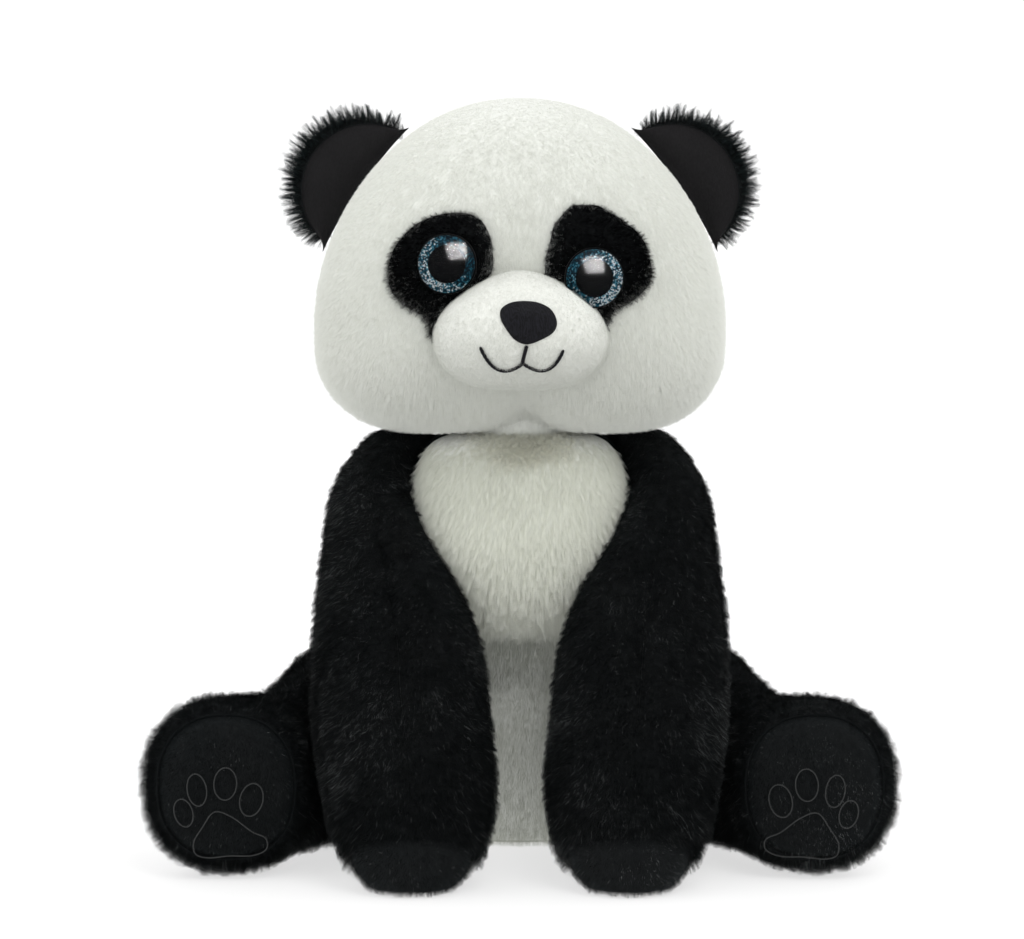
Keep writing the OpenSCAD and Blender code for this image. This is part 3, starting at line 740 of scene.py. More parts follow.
def build_seat():
    """The flat oval that the toy sits on."""
    ring = form_points(torso_form, torso_floor, np.linspace(0, 360, 121)[:-1], 3.6)
    middle = (ring.min(0) + ring.max(0)) / 2
    shares = np.linspace(0.02, 1, 18)[:, None, None]
    under = middle + shares * (ring - middle)
    # A floor-facing oval runs round the other way.
    under = under[:, ::-1]
    lower, upper = under.copy(), under.copy()
    lower[..., 2], upper[..., 2] = seat_heights
    seat = skin("seat_cloth", WHITE_CLOTH, lower, upper, closed=True, pole=True, lie=(0, 1, 0),
                lock=(0.25, 3.0, 1.5), seed=19)
    sewn(seat, ["seat_panel"], "torso")


def build_neck():
    """The stuffed joint between the torso and the head."""
    profile = [(neck_r * math.sin(a), -neck_r * math.cos(a)) for a in np.linspace(0.02, 3.12, 33)]
    neck = lathe("neck_joint", profile, lambda p: p * 0.97 + NECK, 64)
    neck.data.materials.append(WHITE_CLOTH)
    sewn(neck, ["neck_stuffing"], "neck")


# ---- head --------------------------------------------------------------------------------

# The turns, in degrees, of the seams at the crown and under the chin and of the gusset's tip,
# and half the gusset's width at the crown.
crown_turn, under_turn, gusset_tip, gusset_half = 12, 177, 89, 20
POLE = 0.15       # where the panels close at the sides of the head, in degrees
HEAD_SEAM = 0.01  # half a seam, in degrees
HEAD_DEPTHS = (1.6, 3.0)


def gusset_reach(turn):
    """Half the forehead gusset's width at a turn, in degrees: it tapers to its lower tip."""
    return gusset_half * max(0.0, (gusset_tip - turn) / (gusset_tip - crown_turn))


def over_neck(points):
    """Pushes cloth that would lie in the neck joint out onto it."""
    from_neck, clear = points - NECK, neck_r + 0.6
    far = np.linalg.norm(from_neck, axis=-1, keepdims=True)
    return np.where(far < clear, NECK + from_neck * clear / np.maximum(far, 0.1), points)


def with_chin(points):
    """Draws the head's lower front up in the middle, between two round cheeks."""
    x, y, z = points[..., 0], points[..., 1], points[..., 2]
    near = np.exp(-((x - chin_x) / chin_half) ** 2) * np.clip((chin_z - z) / chin_fade, 0, 1)
    front = np.clip((-10 - y) / 25, 0, 1)
    lobes = np.exp(-((np.abs(x - chin_x) - cheek_x) / cheek_half) ** 2)
    lobes *= np.clip((cheek_z - z) / chin_fade, 0, 1)
    shaped = points.copy()
    shaped[..., 0] *= 1 - jaw_tuck * np.clip((jaw_z - z) / jaw_fade, 0, 1)
    shaped[..., 1] += front * 0.4 * chin_rise * near
    shaped[..., 2] += front * (chin_rise * near - cheek_drop * lobes)
    return shaped


def head_panel(name, low, high, turn_0, turn_1, side, seams, seed):
    grids = panel_points(head_form, low, high, turn_0 + HEAD_SEAM, turn_1 - HEAD_SEAM,
                         CLOTH_STEP, HEAD_DEPTHS, widest=60)
    grids = [over_neck(with_chin(grid)) for grid in on_side(side, *grids)]
    piece = skin(name, WHITE_CLOTH, *grids, lock=(0.16, 3.2, 1.2), seams=seams,
                 valley=(0.02, 1.2), seed=seed)
    grow(piece, WHITE_STRANDS, 12.0, 3.9, (0, 0, -0.55), 0.6, width=0.08, children=16,
         clump=0.0, rough=0.13, loose=0.15, seed=seed)
    return piece


def build_head():
    for side in SIDES:
        there = SIDE_NAMES[side]
        face = head_panel(f"face_cloth_{there}", POLE, lambda t: 90 - gusset_reach(t) - HEAD_SEAM,
                          crown_turn, under_turn, side, ("high", "left"), 21 + side)
        sewn(face, [f"face_panel_{there}"], "head")
        back = head_panel(f"head_back_cloth_{there}", POLE, 90 - HEAD_SEAM, under_turn,
                          360 + crown_turn, side, ("high", "right"), 24 + side)
        sewn(back, [f"head_back_{there}"], "head")
    gusset = head_panel("gusset_cloth", lambda t: 90 - gusset_reach(t) + HEAD_SEAM,
                        lambda t: 90 + gusset_reach(t) - HEAD_SEAM, crown_turn, gusset_tip - 0.4, LEFT,
                        ("low", "high", "left"), 27)
    sewn(gusset, ["forehead_gusset"], "head")
    filling("head_filling", head_form, ["head_stuffing"], "head")


def smooth_loop(points, count):
    """A closed smooth curve through the points."""
    p = np.array(points, float)
    n = len(p)
    f = np.linspace(0, n, count, endpoint=False)
    i = f.astype(int)
    t = (f - i)[:, None]
    return catmull_rom(p[(i - 1) % n], p[i % n], p[(i + 1) % n], p[(i + 2) % n], t)


def on_face(x, z, y):
    return np.stack([x, y, z], axis=-1)


# Outlines of the eye patches, clockwise as seen from the front, as x and z.
PATCH_OUTLINES = {
    LEFT: [(-35.5, 268.5), (-28.5, 270), (-21.5, 270), (-16, 267.5), (-12.5, 262), (-11.2, 256),
           (-11.5, 247), (-18, 238), (-29, 230), (-35.2, 219.5), (-37.5, 227), (-42, 230.5),
           (-48, 234), (-52, 239.5), (-53.4, 245), (-52, 252.5), (-48.5, 259), (-42.5, 265)],
    RIGHT: [(20.5, 273), (25.5, 273.3), (30.5, 273), (36.5, 270), (42.5, 266), (47.5, 261.5),
            (50.8, 256), (52.2, 249.5), (52.5, 244), (49.5, 239), (43.5, 234), (37, 230.5),
            (34.5, 224.5), (30, 230), (21, 234), (12.5, 239), (10, 246), (10, 252.5),
            (11.8, 259), (13.2, 265), (16.6, 269.5)],
}


def build_eye_patch(side):
    there = SIDE_NAMES[side]
    outline = smooth_loop(PATCH_OUTLINES[side], 150)
    middle = outline.mean(0)
    rows = 20
    shares = np.sqrt(np.linspace(0.0004, 1, rows))[:, None, None] ** 1.15
    xz = middle + shares * (outline - middle)
    x, z = xz[..., 0], xz[..., 1]
    lift = 0.9 - 1.6 * shares[..., 0] ** 8
    piece = skin(f"eye_patch_cloth_{there}", BLACK_CLOTH, on_face(x, z, face_y(x, z, lift)),
                 on_face(x, z, face_y(x, z, lift - 1.3)), closed=True, pole=True,
                 lock=(0.5, 2.6, 1.8), seed=31 + side)
    grow(piece, PATCH_STRANDS, 16.0, 2.9, (0.05 * side, 0, -0.15), 0.75, width=0.10, clump=0.0,
         rough=0.15, loose=0.28, children=16, seed=31 + side)
    sewn(piece, [f"eye_patch_{there}"], "head")


muzzle_rx, muzzle_rz, muzzle_z, muzzle_out, muzzle_power = 34.5, 24.0, 223.5, 28.0, 2.4
muzzle_jowl = 0.23


def muzzle_edge(turn):
    """How far the muzzle reaches at a turn from +Z to +X."""
    jowl = 1 - muzzle_jowl * np.sin(turn) ** 2 * np.cos(turn)
    return jowl / np.hypot(np.sin(turn) / muzzle_rx, np.cos(turn) / muzzle_rz)


def muzzle_y(x, z, out=0.0):
    turn = np.arctan2(x, z - muzzle_z)
    reach = np.hypot(x, z - muzzle_z) / muzzle_edge(turn)
    swell = np.sqrt(np.maximum(0, 1 - np.minimum(reach, 1) ** muzzle_power))
    return face_y(x, z, out + muzzle_out * swell)


def build_muzzle():
    turns = np.linspace(0, 2 * math.pi, 150, endpoint=False)
    arc = np.linspace(0, math.pi / 2, 40)
    shares = np.maximum(np.sin(arc), 0.004)[:, None]
    reach = muzzle_edge(turns) * shares
    x, z = reach * np.sin(turns), muzzle_z + reach * np.cos(turns)
    tuck = 2.5 * shares ** 14
    y = muzzle_y(x, z, 0.3) + tuck
    cover = skin("muzzle_cloth", MINKY_CLOTH, on_face(x, z, y), on_face(x, z, y + 1.4), closed=True,
                 pole=True, lock=(0.42, 1.5, 1.2), seed=36)
    grow(cover, MINKY_STRANDS, 10.0, 1.1, (0, 0, -0.4), 0.7, width=0.09, clump=0.2, rough=0.3,
         seed=36)
    sewn(cover, ["muzzle_cover"], "head")
    inner = 0.9
    x, z = inner * x, muzzle_z + inner * (z - muzzle_z)
    front = muzzle_y(x, z, -2.8)
    rear = face_y(x, z, 0.4)
    fill = sheet("muzzle_filling", FILL_FIBRE, on_face(x, z, np.minimum(front, rear - 0.1)),
                 on_face(x, z, rear), closed=True, pole=True)
    sewn(fill, ["muzzle_stuffing"], "head")


def satin_thread(name, colour, length_scale=(1, 1, 1), rough=0.42, shine=0.5, painted_sheen=1.6,
                 bands=900.0, sheen=0.1, wander=1.5):
    """Embroidery: fine parallel threads with a satin shine, and painted sheen: the thread colour is lighter
    along the wave bands and in soft noise.
    """
    mat, nt, bsdf = material(name)
    wave = node(nt, "ShaderNodeTexWave", Scale=bands, Distortion=wander, Detail=2.0)
    wave.bands_direction = "DIAGONAL"
    nt.links.new(object_coords(nt, length_scale), wave.inputs["Vector"])
    # Painted sheen: the thread is lighter along its wave bands and in soft noise.
    painted_sheen_colour = tuple(painted_sheen * v for v in colour)
    painted_sheen_noise = add_noise(nt, object_coords(nt), 500, 3)
    blend = mix_colour(nt, 0.4, ramp(nt, wave.outputs["Fac"], [(0.2, colour), (0.8, painted_sheen_colour)]),
                       ramp(nt, painted_sheen_noise, [(0.35, colour), (0.7, painted_sheen_colour)]))
    nt.links.new(blend, bsdf.inputs["Base Color"])
    bsdf.inputs["Roughness"].default_value = rough
    bsdf.inputs["Specular IOR Level"].default_value = shine
    bsdf.inputs["Sheen Weight"].default_value = sheen
    bump(nt, bsdf, wave.outputs["Fac"], 0.35, 0.0002)
    return mat


# The nose's lighter thread bands are painted sheen.
NOSE_THREAD = satin_thread("nose_thread", (0.0022, 0.0022, 0.0030), (1, 1, 0.35), shine=0.10,
                           rough=0.5, painted_sheen=4.0, bands=420.0, sheen=0.01, wander=16.0)
MOUTH_THREAD = satin_thread("mouth_thread", (0.0030, 0.0030, 0.0045), shine=0.10, sheen=0.02)
PRINT_THREAD = satin_thread("print_thread", (0.016, 0.017, 0.017), shine=0.15, painted_sheen=2.0)
SEAM_THREAD = satin_thread("seam_thread", (0.02, 0.021, 0.022))

# The nose, clockwise as seen from the front, as x and z: a rounded triangle, point down.
NOSE_OUTLINE = [(1, 236.3), (7, 235.6), (12, 232.8), (14.2, 228), (12.8, 224), (8, 221),
                (2.5, 219.2), (-2, 220.8), (-5.4, 224.8), (-7.9, 229.5), (-7.6, 233.2), (-4, 235.6)]
MOUTH_STROKES = [[(2.4, 218.6), (1.2, 214.5), (0.6, 211)],
                 [(0.9, 211.4), (-9.5, 202.5), (-15.9, 218)],
                 [(0.9, 211.4), (11.5, 203), (16.8, 216.8)]]


def bezier(a, b, c, t):
    a, b, c, t = (np.asarray(v, float) for v in (a, b, c, t[:, None]))
    return (1 - t) ** 2 * a + 2 * t * (1 - t) * b + t * t * c


def build_nose():
    outline = smooth_loop(NOSE_OUTLINE, 110)
    middle = outline.mean(0)
    shares = np.sin(np.linspace(0, math.pi / 2, 26))[:, None]
    shares = np.maximum(shares, 0.01)
    xz = middle + shares[..., None] * (outline - middle)
    x, z = xz[..., 0], xz[..., 1]
    puff = 1.9 * (1 - shares ** 3) ** 0.6 + 0.2
    ridges = 0.10 * np.sin(x * 7 + 2.5 * noise(on_face(x, z, x * 0) * 0.25, 41))
    front = muzzle_y(x, z, 0.6 + puff + ridges * (shares < 0.97))
    piece = sheet("nose_stitching", NOSE_THREAD, on_face(x, z, front),
                  on_face(x, z, muzzle_y(x, z, -0.4)), closed=True, pole=True)
    sewn(piece, ["nose_patch"], "head")
    t = np.linspace(0, 1, 46)
    paths = []
    for stroke in MOUTH_STROKES:
        p = bezier(*stroke, t)
        paths.append(on_face(p[:, 0], p[:, 1], muzzle_y(p[:, 0], p[:, 1], 1.2)))
    # Satin stitches: the thread swells and pinches along each stroke.
    swell = 0.70 + 0.10 * np.cos(np.arange(len(t)) * 2.1)
    swell[0] = swell[-1] = 0.3
    mouth = tubes("mouth_stitching", paths, swell, 10)
    hard(mouth, ["mouth_stitches"], MOUTH_THREAD)


# ---- eyes --------------------------------------------------------------------------------

eye_d, eye_x, eye_yaw = 24.0, 29.0, math.radians(11.3)
EYE_Z = {LEFT: 250.0, RIGHT: 244.5}
eye_proud, disc_t, inlay_t, dome_h = 2.8, 1.5, 0.6, 5.5
lens_r = eye_d / 2 - 0.1
pupil_r = eye_d * 0.32


def at_eye(side):
    """Moves points from an eye's own frame, which looks along +Z, to its place on the face."""
    x = side * eye_x
    z = EYE_Z[side]
    place = np.array([x, float(face_y(np.array(x), np.array(z), eye_proud)), z])
    c, s = math.cos(side * eye_yaw), math.sin(side * eye_yaw)
    right, up, look = np.array([c, s, 0]), np.array([0, 0, 1.0]), np.array([s, -c, 0])
    return lambda p: place + p[:, 0:1] * right + p[:, 1:2] * up + p[:, 2:3] * look


def glitter_material():
    """Flakes of ice blue and teal foil of many tilts: each flake a random tone of the foil, the brightest
    ones painted glints, with painted light making the ring brighter low down and outward.
    """
    mat, nt, bsdf = material("eye_glitter")
    coords = object_coords(nt)
    flakes = node(nt, "ShaderNodeTexVoronoi", Scale=2000.0)
    nt.links.new(coords, flakes.inputs["Vector"])
    split = nt.nodes.new("ShaderNodeSeparateColor")
    nt.links.new(flakes.outputs["Color"], split.inputs["Color"])
    axes = nt.nodes.new("ShaderNodeSeparateXYZ")
    nt.links.new(coords, axes.inputs[0])
    # Painted light: the foil is made brighter outward from the face's middle and low down, in soft patches.
    painted_light_outward = remap(nt, maths(nt, "ABSOLUTE", axes.outputs["X"]), 0.020, 0.040, -0.45, 0.55)
    down = remap(nt, axes.outputs["Z"], 0.236, 0.258, 0.7, -0.2)
    clouds = add_noise(nt, coords, 170, 2)
    patchy_painted_light = maths(nt, "MULTIPLY", maths(nt, "ADD", painted_light_outward, down),
                   ramp(nt, clouds, [(0.35, (0.5, 0.5, 0.5)), (0.65, (1.3, 1.3, 1.3))]))
    # Each flake's random tone plus the painted light; the brightest flakes are painted glints.
    flake_tone_and_painted_light = maths(nt, "MULTIPLY_ADD", patchy_painted_light, 0.5, split.outputs[0])
    foil = ramp(nt, flake_tone_and_painted_light, [(0.32, (0.0015, 0.012, 0.020)), (0.64, (0.006, 0.060, 0.095)),
                            (0.86, (0.03, 0.20, 0.30)), (0.95, (0.20, 0.58, 0.72)),
                            (1.0, (0.95, 1.0, 1.0))])
    nt.links.new(foil, bsdf.inputs["Base Color"])
    bsdf.inputs["Specular IOR Level"].default_value = 0.1
    bsdf.inputs["Roughness"].default_value = 0.4
    bump(nt, bsdf, split.outputs[1], 0.6, 0.0002)
    return mat


def gloss_black(name, rough, shine):
    mat, nt, bsdf = material(name)
    bsdf.inputs["Specular IOR Level"].default_value = shine
    mottle(nt, bsdf, 160, 2, [(0.3, (0.0006, 0.0006, 0.0008)), (0.8, (0.0014, 0.0015, 0.0018))])
    bsdf.inputs["Roughness"].default_value = rough
    return mat


def dome_material():
    """Clear moulded plastic over the iris: it shows what is behind it and shines."""
    mat, nt, bsdf = material("eye_dome")
    nt.nodes.remove(bsdf)
    clear = nt.nodes.new("ShaderNodeBsdfTransparent")
    clear.inputs["Color"].default_value = (0.97, 0.99, 1.0, 1)
    shine = nt.nodes.new("ShaderNodeBsdfGlossy")
    shine.inputs["Color"].default_value = (0.06, 0.06, 0.06, 1)
    shine.inputs["Roughness"].default_value = 0.15
    fresnel = node(nt, "ShaderNodeFresnel", IOR=1.5)
    mix_shaders(nt, fresnel.outputs[0], clear, shine)
    return mat


def moulded_white():
    mat, nt, bsdf = material("washer_plastic")
    mottle(nt, bsdf, 90, 3, [(0.3, (0.72, 0.72, 0.70)), (0.7, (0.84, 0.84, 0.82))])
    bsdf.inputs["Roughness"].default_value = 0.45
    return mat


EYE_GLITTER = glitter_material()
EYE_PUPIL = gloss_black("eye_pupil", 0.6, 0.0)
EYE_DISC = gloss_black("eye_disc", 0.35, 0.2)
EYE_DOME = dome_material()
WASHER = moulded_white()


def repaint(name, mat):
    """Gives a CAD node that stays on show its finished material."""
    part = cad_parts[name]
    part.data.materials.clear()
    part.data.materials.append(mat)
    part.data.polygons.foreach_set("use_smooth", [False] * len(part.data.polygons))


def build_eye(side):
    there = SIDE_NAMES[side]
    place = at_eye(side)
    ball_r = (lens_r ** 2 + dome_h ** 2) / (2 * dome_h)
    base = disc_t + inlay_t
    spread = math.asin(lens_r / ball_r)
    cap = [(ball_r * math.sin(a), base + dome_h - ball_r * (1 - math.cos(a)))
           for a in np.linspace(spread, 0.004, 40)]
    dome = lathe(f"eye_dome_{there}", [(0.05, base + 0.05), (lens_r - 0.4, base + 0.05), *cap], place)
    hard(dome, [f"eye_lens_{there}"], EYE_DOME)
    iris = lathe(f"eye_ring_{there}",
                 [(pupil_r - 0.3, disc_t), (lens_r - 0.5, disc_t), (lens_r - 0.5, base - 0.1),
                  (lens_r - 0.9, base), (pupil_r - 0.1, base - 0.35), (pupil_r - 0.3, base - 0.4)],
                 place)
    hard(iris, [f"eye_iris_{there}"], EYE_GLITTER)
    pupil = lathe(f"eye_centre_{there}",
                  [(0.02, disc_t), (pupil_r, disc_t), (pupil_r, base - 0.3),
                   (pupil_r * 0.98, base - 0.2), (0.02, base - 0.2)], place)
    hard(pupil, [f"eye_pupil_{there}"], EYE_PUPIL)
    shank = lathe(f"eye_back_{there}",
                  [(0.02, -13), (2.3, -13), (2.5, -12.6), *[(2.5 + 0.25 * (k % 2), -12.2 + 0.8 * k)
                   for k in range(12)], (2.5, -1.4), (8, -0.6), (lens_r - 0.6, 0.0),
                   (lens_r + 0.1, 0.5), (lens_r + 0.15, 1.3), (lens_r - 0.2, disc_t + 0.3),
                   (lens_r - 0.45, disc_t), (0.02, disc_t)], place)
    hard(shank, [f"eye_shank_{there}"], EYE_DISC)
    repaint(f"eye_washer_{there}", WASHER)


# ---- ears --------------------------------------------------------------------------------

ear_y, ear_r, ear_from, ear_to = 10.0, 31.5, 52.0, 240.0
ear_centre = np.array([-68.0, 281.0])
ear_root = [(-46.6, 304.8), (-73.8, 285.0), (-83.2, 252.4)]
ear_edge, ear_puff = 1.2, 4.6
EAR_RIM = 4.5  # the cloth's rim lies this far inside the CAD's, and its pile reaches past it
EAR_BEND = {side: ((side * 0.0649, 0.010, 0.2786), (side * 0.0735, 0.010, 0.2846))
            for side in SIDES}


def ear_points(along, out, thick):
    """Points on the ear: along its root, out towards its rim, and thick to the front."""
    root = bezier(*ear_root, along)
    turn = np.radians(ear_from + (ear_to - ear_from) * along)
    rim = ear_centre + (ear_r - EAR_RIM) * np.stack([np.cos(turn), np.sin(turn)], -1)
    flat = root[None] + (rim - root)[None] * out[:, None, None]
    half = ear_puff * np.sqrt(np.maximum(0, 4 * along * (1 - along)))[None]
    y = ear_y - thick(out[:, None], half)
    return on_face(flat[..., 0], flat[..., 1], np.broadcast_to(y, flat.shape[:2]))


def build_ear(side):
    there, body = SIDE_NAMES[side], f"{SIDE_NAMES[side]}_ear"
    columns = 60
    along = np.linspace(0.01, 0.99, columns)
    start, end = EAR_BEND[side]
    bend = ("head", body, start, end)
    front_share = 0.87

    # The back panel runs up the back, over the rim, and a little way down the front.
    out = np.concatenate([np.linspace(-0.12, 1, 24), np.linspace(0.99, front_share - 0.03, 7)])
    over = np.clip((np.arange(len(out)) - 20) / 6.0, 0, 1)

    def back_thick(share, half):
        bulge = (ear_edge + half * np.sin(math.pi * np.clip(share, 0, 1) ** 0.8))
        return -bulge + (2 * bulge + 0.4) * over[:, None]

    outer = ear_points(along, out, back_thick)
    inner = ear_points(along, out * 0.97, lambda s, h: 0.55 * back_thick(s, h))
    back = skin(f"ear_back_cloth_{there}", BLACK_CLOTH, *on_side(side, outer, inner), lie=(0, 0, 1),
                lock=(0.6, 3.0, 2.0), seed=41 + side)
    # The pile is longest along the rim.
    rim = np.clip((out - 0.55) / 0.4, 0, 1)
    add_group(back, "length", np.repeat(0.45 + 0.55 * rim, columns))
    grow(back, EAR_STRANDS, 16.0, 6.5, (0.15 * side, 0, 0.10), 0.85, width=0.10, clump=0.45,
         rough=0.25, loose=0.35, children=30, seed=41 + side)
    sewn(back, [f"ear_back_{there}"], bend=bend)

    # The velvet front lies a little lower than the rim.
    out = np.linspace(-0.12, front_share, 24)

    def front_thick(share, half):
        return ear_edge + 0.75 * half * np.sin(math.pi * np.clip(share, 0, 1) ** 0.8)

    outer = ear_points(along, out, front_thick)[:, ::-1]
    inner = ear_points(along, out, lambda s, h: 0.35 * front_thick(s, h))[:, ::-1]
    front = skin(f"ear_velvet_{there}", VELVET_CLOTH, *on_side(side, outer, inner),
                 lock=(0.12, 2.0, 1.0), seed=44 + side)
    sewn(front, [f"ear_front_{there}"], bend=bend)


# ---- arms and legs -----------------------------------------------------------------------

paw_seam, sole_seam = 34, 25  # the rings of the end seams, in degrees from the first pole
ARM_LIE = -ARM_AXES[2]
LEG_LIE = np.array([0, -0.85, -0.35])


def limb_panels(limb, side, shape, seam, turns, bend, lie, lean, stand, loose, seed):
    """The two long panels of an arm or leg, from its end seam to the body."""
    there = SIDE_NAMES[side]
    for k, (part, turn) in enumerate(turns.items()):
        own_seed = seed + 3 * k + side
        panel = form_panel(f"{limb}_{there}_{part}_cloth", BLACK_CLOTH, shape, seam + SEAM, LAST_POLE,
                           turn, turn + 180, side, lie=lie, lock=(0.8, 3.6, 2.4),
                           seams=("low", "left", "right"), valley=(0.05, 1.6), seed=own_seed)
        grow(panel, BLACK_STRANDS, 8.0, 4.2, tuple(lean * lie), stand, width=0.09, children=40,
             clump=0.15, loose=loose, seed=own_seed)
        sewn(panel, [f"{limb}_{there}_{part}"], bend=bend)


def build_arm(side):
    there, body = SIDE_NAMES[side], f"{SIDE_NAMES[side]}_arm"
    bend = ("torso", body, (side * 0.062, 0.010, 0.165), (side * 0.060, -0.020, 0.115))
    limb_panels("arm", side, arm_form, paw_seam, {"outer": 90, "inner": 270}, bend, ARM_LIE, 0.6,
                0.62, 0.3, 51)
    pad = end_cap(f"paw_pad_cloth_{there}", SOLE_CLOTH, arm_form, paw_seam - SEAM, side,
                  lie=(0, 1, 0), lock=(0.5, 3.0, 1.6), seams=("high",), valley=(1.4, 3.0),
                  seed=57 + side)
    grow(pad, BLACK_STRANDS, 6.0, 2.4, (0, 0.35, -0.2), 0.7, width=0.09, clump=0.1,
         seed=57 + side)
    sewn(pad, [f"paw_pad_{there}"], body)
    filling(f"arm_{there}_filling", arm_form, [f"arm_{there}_stuffing"], bend=bend, side=side)


def build_leg(side):
    there, body = SIDE_NAMES[side], f"{SIDE_NAMES[side]}_leg"
    bend = ("torso", body, (side * 0.076, 0.066, 0.044), (side * 0.085, 0.010, 0.044))
    limb_panels("leg", side, leg_form, sole_seam, {"top": 180, "under": 0}, bend, LEG_LIE, 0.5,
                0.65, 0.35, 61)
    sole = end_cap(f"foot_sole_cloth_{there}", SOLE_CLOTH, leg_form, sole_seam - SEAM, side,
                   lie=DOWN, lock=(0.4, 2.6, 1.4), seams=("high",), valley=(1.4, 3.2),
                   seed=67 + side)
    grow(sole, BLACK_STRANDS, 7.0, 1.5, (0, 0, -0.4), 0.75, width=0.09, clump=0.1,
         seed=67 + side)
    sewn(sole, [f"foot_sole_{there}"], body)
    build_print(side)
    filling(f"leg_{there}_filling", leg_form, [f"leg_{there}_stuffing"], bend=bend, side=side)


def sole_front(x, z):
    """y of the left sole's surface at x and z."""
    power = leg_form.side_power
    rho = (np.abs((x + foot_x) / foot_rx) ** power + np.abs((z - foot_rz) / foot_rz) ** power) ** (1 / power)
    return sole_y + leg_len * (1 - end_scale(np.minimum(rho, 0.999), leg_form.end_powers[0])) / 2


# The paw print on the left sole, from the middle of its pad: x to the right and z up.
PAD_OUTLINE = [(-7, 11.5), (0, 9.5), (8, 3.5), (13.5, 0.5), (13.5, -4.5), (8, -7), (-1.5, -7),
               (-10, -8), (-15, -6.5), (-15.5, -1), (-12, 5)]
TOES = [((-19.5, 11), (3.8, 5.8), 14), ((-14, 20.5), (3.9, 6.6), 8), ((-2.5, 23), (4.6, 6.6), -4),
        ((8, 16.5), (4.6, 6.8), -14)]  # place, radii and lean in degrees
PRINT_PLACES = {LEFT: (-116.5, 17.5), RIGHT: (-113.0, 17.0)}


def build_print(side):
    """The paw print sewn on the sole: outlines of a pad and four toes."""
    a = np.linspace(0, 2 * math.pi, 49)
    loops = [smooth_loop(PAD_OUTLINE, 110)]
    loops[0] = np.concatenate([loops[0], loops[0][:1]])
    for spot, (across, tall), lean in TOES:
        u, v = across * np.sin(a), tall * np.cos(a)
        c, s = math.cos(math.radians(lean)), math.sin(math.radians(lean))
        loops.append(np.stack([spot[0] + u * c - v * s, spot[1] + u * s + v * c], -1))
    paths = []
    for loop in loops:
        x, z = loop[:, 0] + PRINT_PLACES[side][0], loop[:, 1] + PRINT_PLACES[side][1]
        path = on_face(x, z, sole_front(x, z) + CLOTH_DEPTH - 1.6)
        paths.append(path * [-1 if side == RIGHT else 1, 1, 1])
    there = SIDE_NAMES[side]
    piece = tubes(f"sole_print_lines_{there}", paths, 0.24, 8)
    hard(piece, [f"sole_print_{there}"], PRINT_THREAD, f"{there}_leg")


# ---- tail, stitches and label --------------------------------------------------------------

def build_tail():
    for side in SIDES:
        there = SIDE_NAMES[side]
        half = form_panel(f"tail_cloth_{there}", WHITE_CLOTH, tail_form, 4, 179, 90, 270, side,
                          depth=(0.8, 1.8), lie=DOWN, lock=(0.5, 2.6, 1.6),
                          seams=("left", "right"), valley=(0.6, 2.0), seed=71 + side, step=1.3)
        grow(half, WHITE_STRANDS, 8.0, 6.5, (0, 0.15, -0.5), 0.8, clump=0.2, seed=71 + side)
        sewn(half, [f"tail_{there}"], "tail")
    outer, inner = panel_points(tail_form, 4, 176, 0, 360, 2.0, (2.2, 3.8), closed=True)
    fill = sheet("tail_filling", FILL_FIBRE, outer, inner, closed=True, pole=True)
    sewn(fill, ["tail_stuffing"], "tail")


stitch_heights = (104, 110, 116, 122, 128, 134)


def build_stitches():
    """Ladder stitches across the middle back seam: each goes in, over and out again."""
    t = np.linspace(-1, 1, 15)
    paths = []
    for z in stitch_heights:
        on_back = form_points(torso_form, torso_angle(z), 90.0, 0.0)
        lift = 0.9 - 3.2 * t ** 4
        paths.append(on_back + np.stack([3 * t, lift, 0.5 * t], -1))
    piece = tubes("back_stitches", paths, 0.5, 8)
    hard(piece, ["closing_stitches"], SEAM_THREAD, "torso")


def woven_label():
    mat, nt, bsdf = material("label_cloth")
    warp = node(nt, "ShaderNodeTexWave", Scale=700.0, Distortion=0.3)
    weft = node(nt, "ShaderNodeTexWave", Scale=700.0, Distortion=0.3)
    weft.bands_direction = "Z"
    coords = object_coords(nt)
    nt.links.new(coords, warp.inputs["Vector"])
    nt.links.new(coords, weft.inputs["Vector"])
    woven = maths(nt, "MULTIPLY", warp.outputs["Fac"], weft.outputs["Fac"])
    nt.links.new(ramp(nt, woven, [(0.0, (0.55, 0.55, 0.54)), (0.6, (0.78, 0.78, 0.77))]),
                 bsdf.inputs["Base Color"])
    bsdf.inputs["Roughness"].default_value = 0.5
    bsdf.inputs["Sheen Weight"].default_value = 0.2
    return mat


def build_label():
    """A blank woven label that is sewn in beside the tail and hangs down."""
    low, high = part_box("care_label")
    low, high = np.array(low) / MM, np.array(high) / MM
    width, drop = 20.0, 26.0
    yaw = math.radians(21)
    middle = (low + high) / 2
    u = np.linspace(-0.5, 0.5, 21)
    v = np.linspace(0, 1, 27)
    uu, vv = np.meshgrid(u, v)
    curl = 1.1 * vv ** 2 + 0.35 * np.sin(5 * uu + 1) * vv
    outward = np.array([-math.sin(yaw), math.cos(yaw), 0])
    across = np.array([math.cos(yaw), math.sin(yaw), 0])
    top = np.array([middle[0], middle[1], high[2]])
    grid = (top + across * (uu * width)[..., None] + outward * (curl + 0.1)[..., None]
            - np.array([0, 0, 1.0]) * (vv * drop)[..., None])
    faces = np.arange(grid.shape[0] * grid.shape[1]).reshape(grid.shape[:2])
    label = new_mesh("blank_label", grid.reshape(-1, 3),
                     quads(faces[:-1, :-1], faces[1:, :-1], faces[1:, 1:], faces[:-1, 1:]))
    thick = label.modifiers.new("cloth", "SOLIDIFY")
    thick.thickness = 0.35 * MM
    hard(label, ["care_label"], woven_label(), "torso")


# ---- stage, lights and camera --------------------------------------------------------------

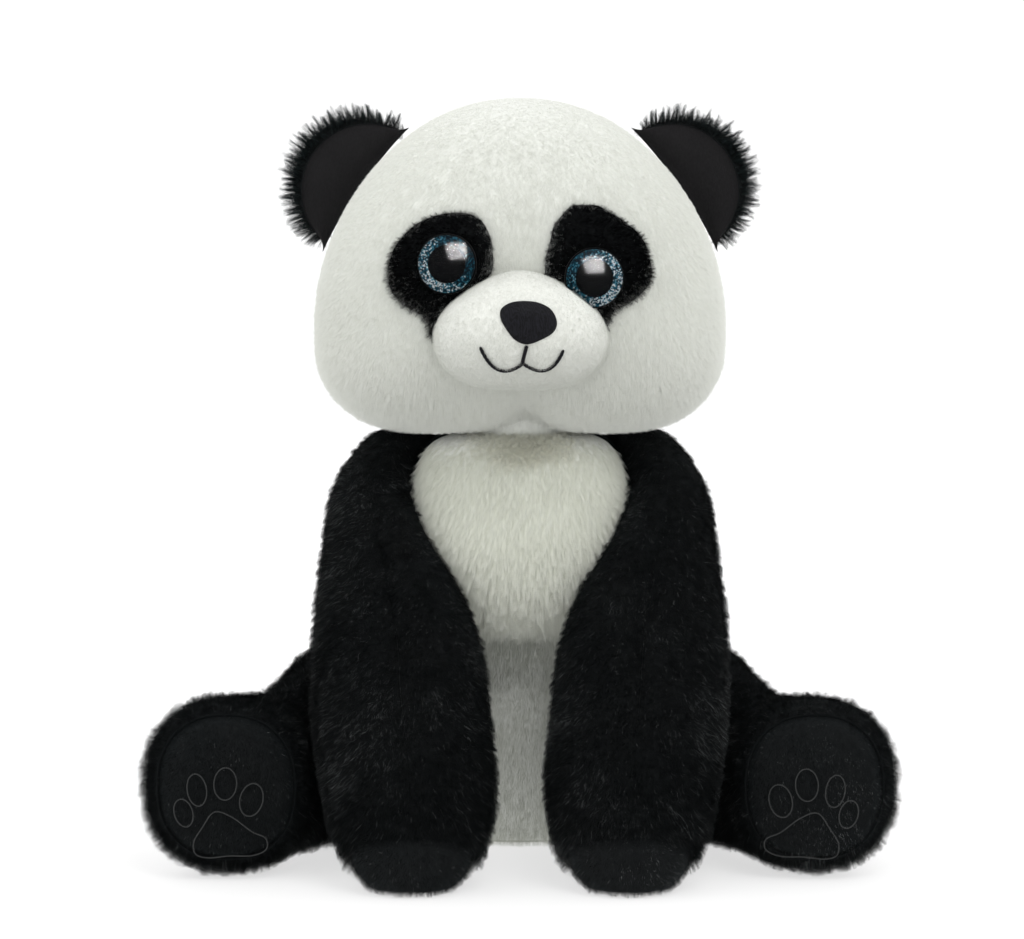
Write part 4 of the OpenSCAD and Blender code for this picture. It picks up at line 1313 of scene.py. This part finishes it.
def build_stage():
    mat, nt, bsdf = material("pale_floor")
    mottle(nt, bsdf, 6, 2, [(0.3, (0.34, 0.34, 0.34)), (0.7, (0.36, 0.36, 0.36))])
    bsdf.inputs["Emission Color"].default_value = (1, 1, 1, 1)
    bsdf.inputs["Emission Strength"].default_value = 0.66
    bsdf.inputs["Roughness"].default_value = 0.9
    bpy.ops.mesh.primitive_plane_add(size=60, location=(0, 0, -0.0005))
    floor = bpy.context.object
    floor.name = "floor"
    floor.data.materials.append(mat)


def area_light(name, place, aim, size, power, colour=(1, 1, 1)):
    data = bpy.data.lights.new(name, "AREA")
    data.shape = "RECTANGLE"
    data.size, data.size_y = size
    data.energy = power
    data.color = colour
    lamp = bpy.data.objects.new(name, data)
    lamp.location = place
    lamp.rotation_euler = (Vector(aim) - Vector(place)).to_track_quat("-Z", "Y").to_euler()
    bpy.context.scene.collection.objects.link(lamp)
    return lamp


def build_lights():
    world = bpy.data.worlds.new("studio")
    world.use_nodes = True
    background = world.node_tree.nodes["Background"]
    background.inputs["Color"].default_value = (1, 1, 1, 1)
    background.inputs["Strength"].default_value = 1.06
    bpy.context.scene.world = world
    area_light("key", (0.35, -1.1, 1.25), (0, 0, 0.2), (0.7, 0.6), 7)
    area_light("fill", (-1.3, -0.9, 0.6), (0, 0, 0.15), (0.9, 0.9), 3)
    # A softbox that only the shine of the eyes picks up.
    catch = area_light("catchlight", (0.22, -0.75, 0.84), (0, -0.08, 0.25), (1.0, 0.9), 560)
    catch.visible_diffuse = False
    eyes = bpy.data.collections.new("catchlight_receivers")
    for side in SIDES:
        eyes.objects.link(bpy.data.objects[f"eye_dome_{SIDE_NAMES[side]}"])
    catch.light_linking.receiver_collection = eyes


CAMERA_DISTANCE, CAMERA_DROP = 1.5, math.radians(5)
FOCUS_HEIGHT, FOCUS_SIDE = 0.1615, -0.0034


def build_camera():
    data = bpy.data.cameras.new("camera")
    data.lens = 125.5
    data.sensor_width = 36
    camera = bpy.data.objects.new("camera", data)
    camera.location = (FOCUS_SIDE, -CAMERA_DISTANCE * math.cos(CAMERA_DROP),
                       FOCUS_HEIGHT + CAMERA_DISTANCE * math.sin(CAMERA_DROP))
    camera.rotation_euler = (math.pi / 2 - CAMERA_DROP, 0, 0)
    bpy.context.scene.collection.objects.link(camera)
    bpy.context.scene.camera = camera


build_camera()
build_stage()
build_torso()
build_neck()
build_head()
for a_side in SIDES:
    build_eye_patch(a_side)
    build_eye(a_side)
    build_ear(a_side)
    build_arm(a_side)
    build_leg(a_side)
build_muzzle()
build_nose()
build_tail()
build_stitches()
build_label()
build_lights()
bpy.context.scene.view_settings.view_transform = "Standard"
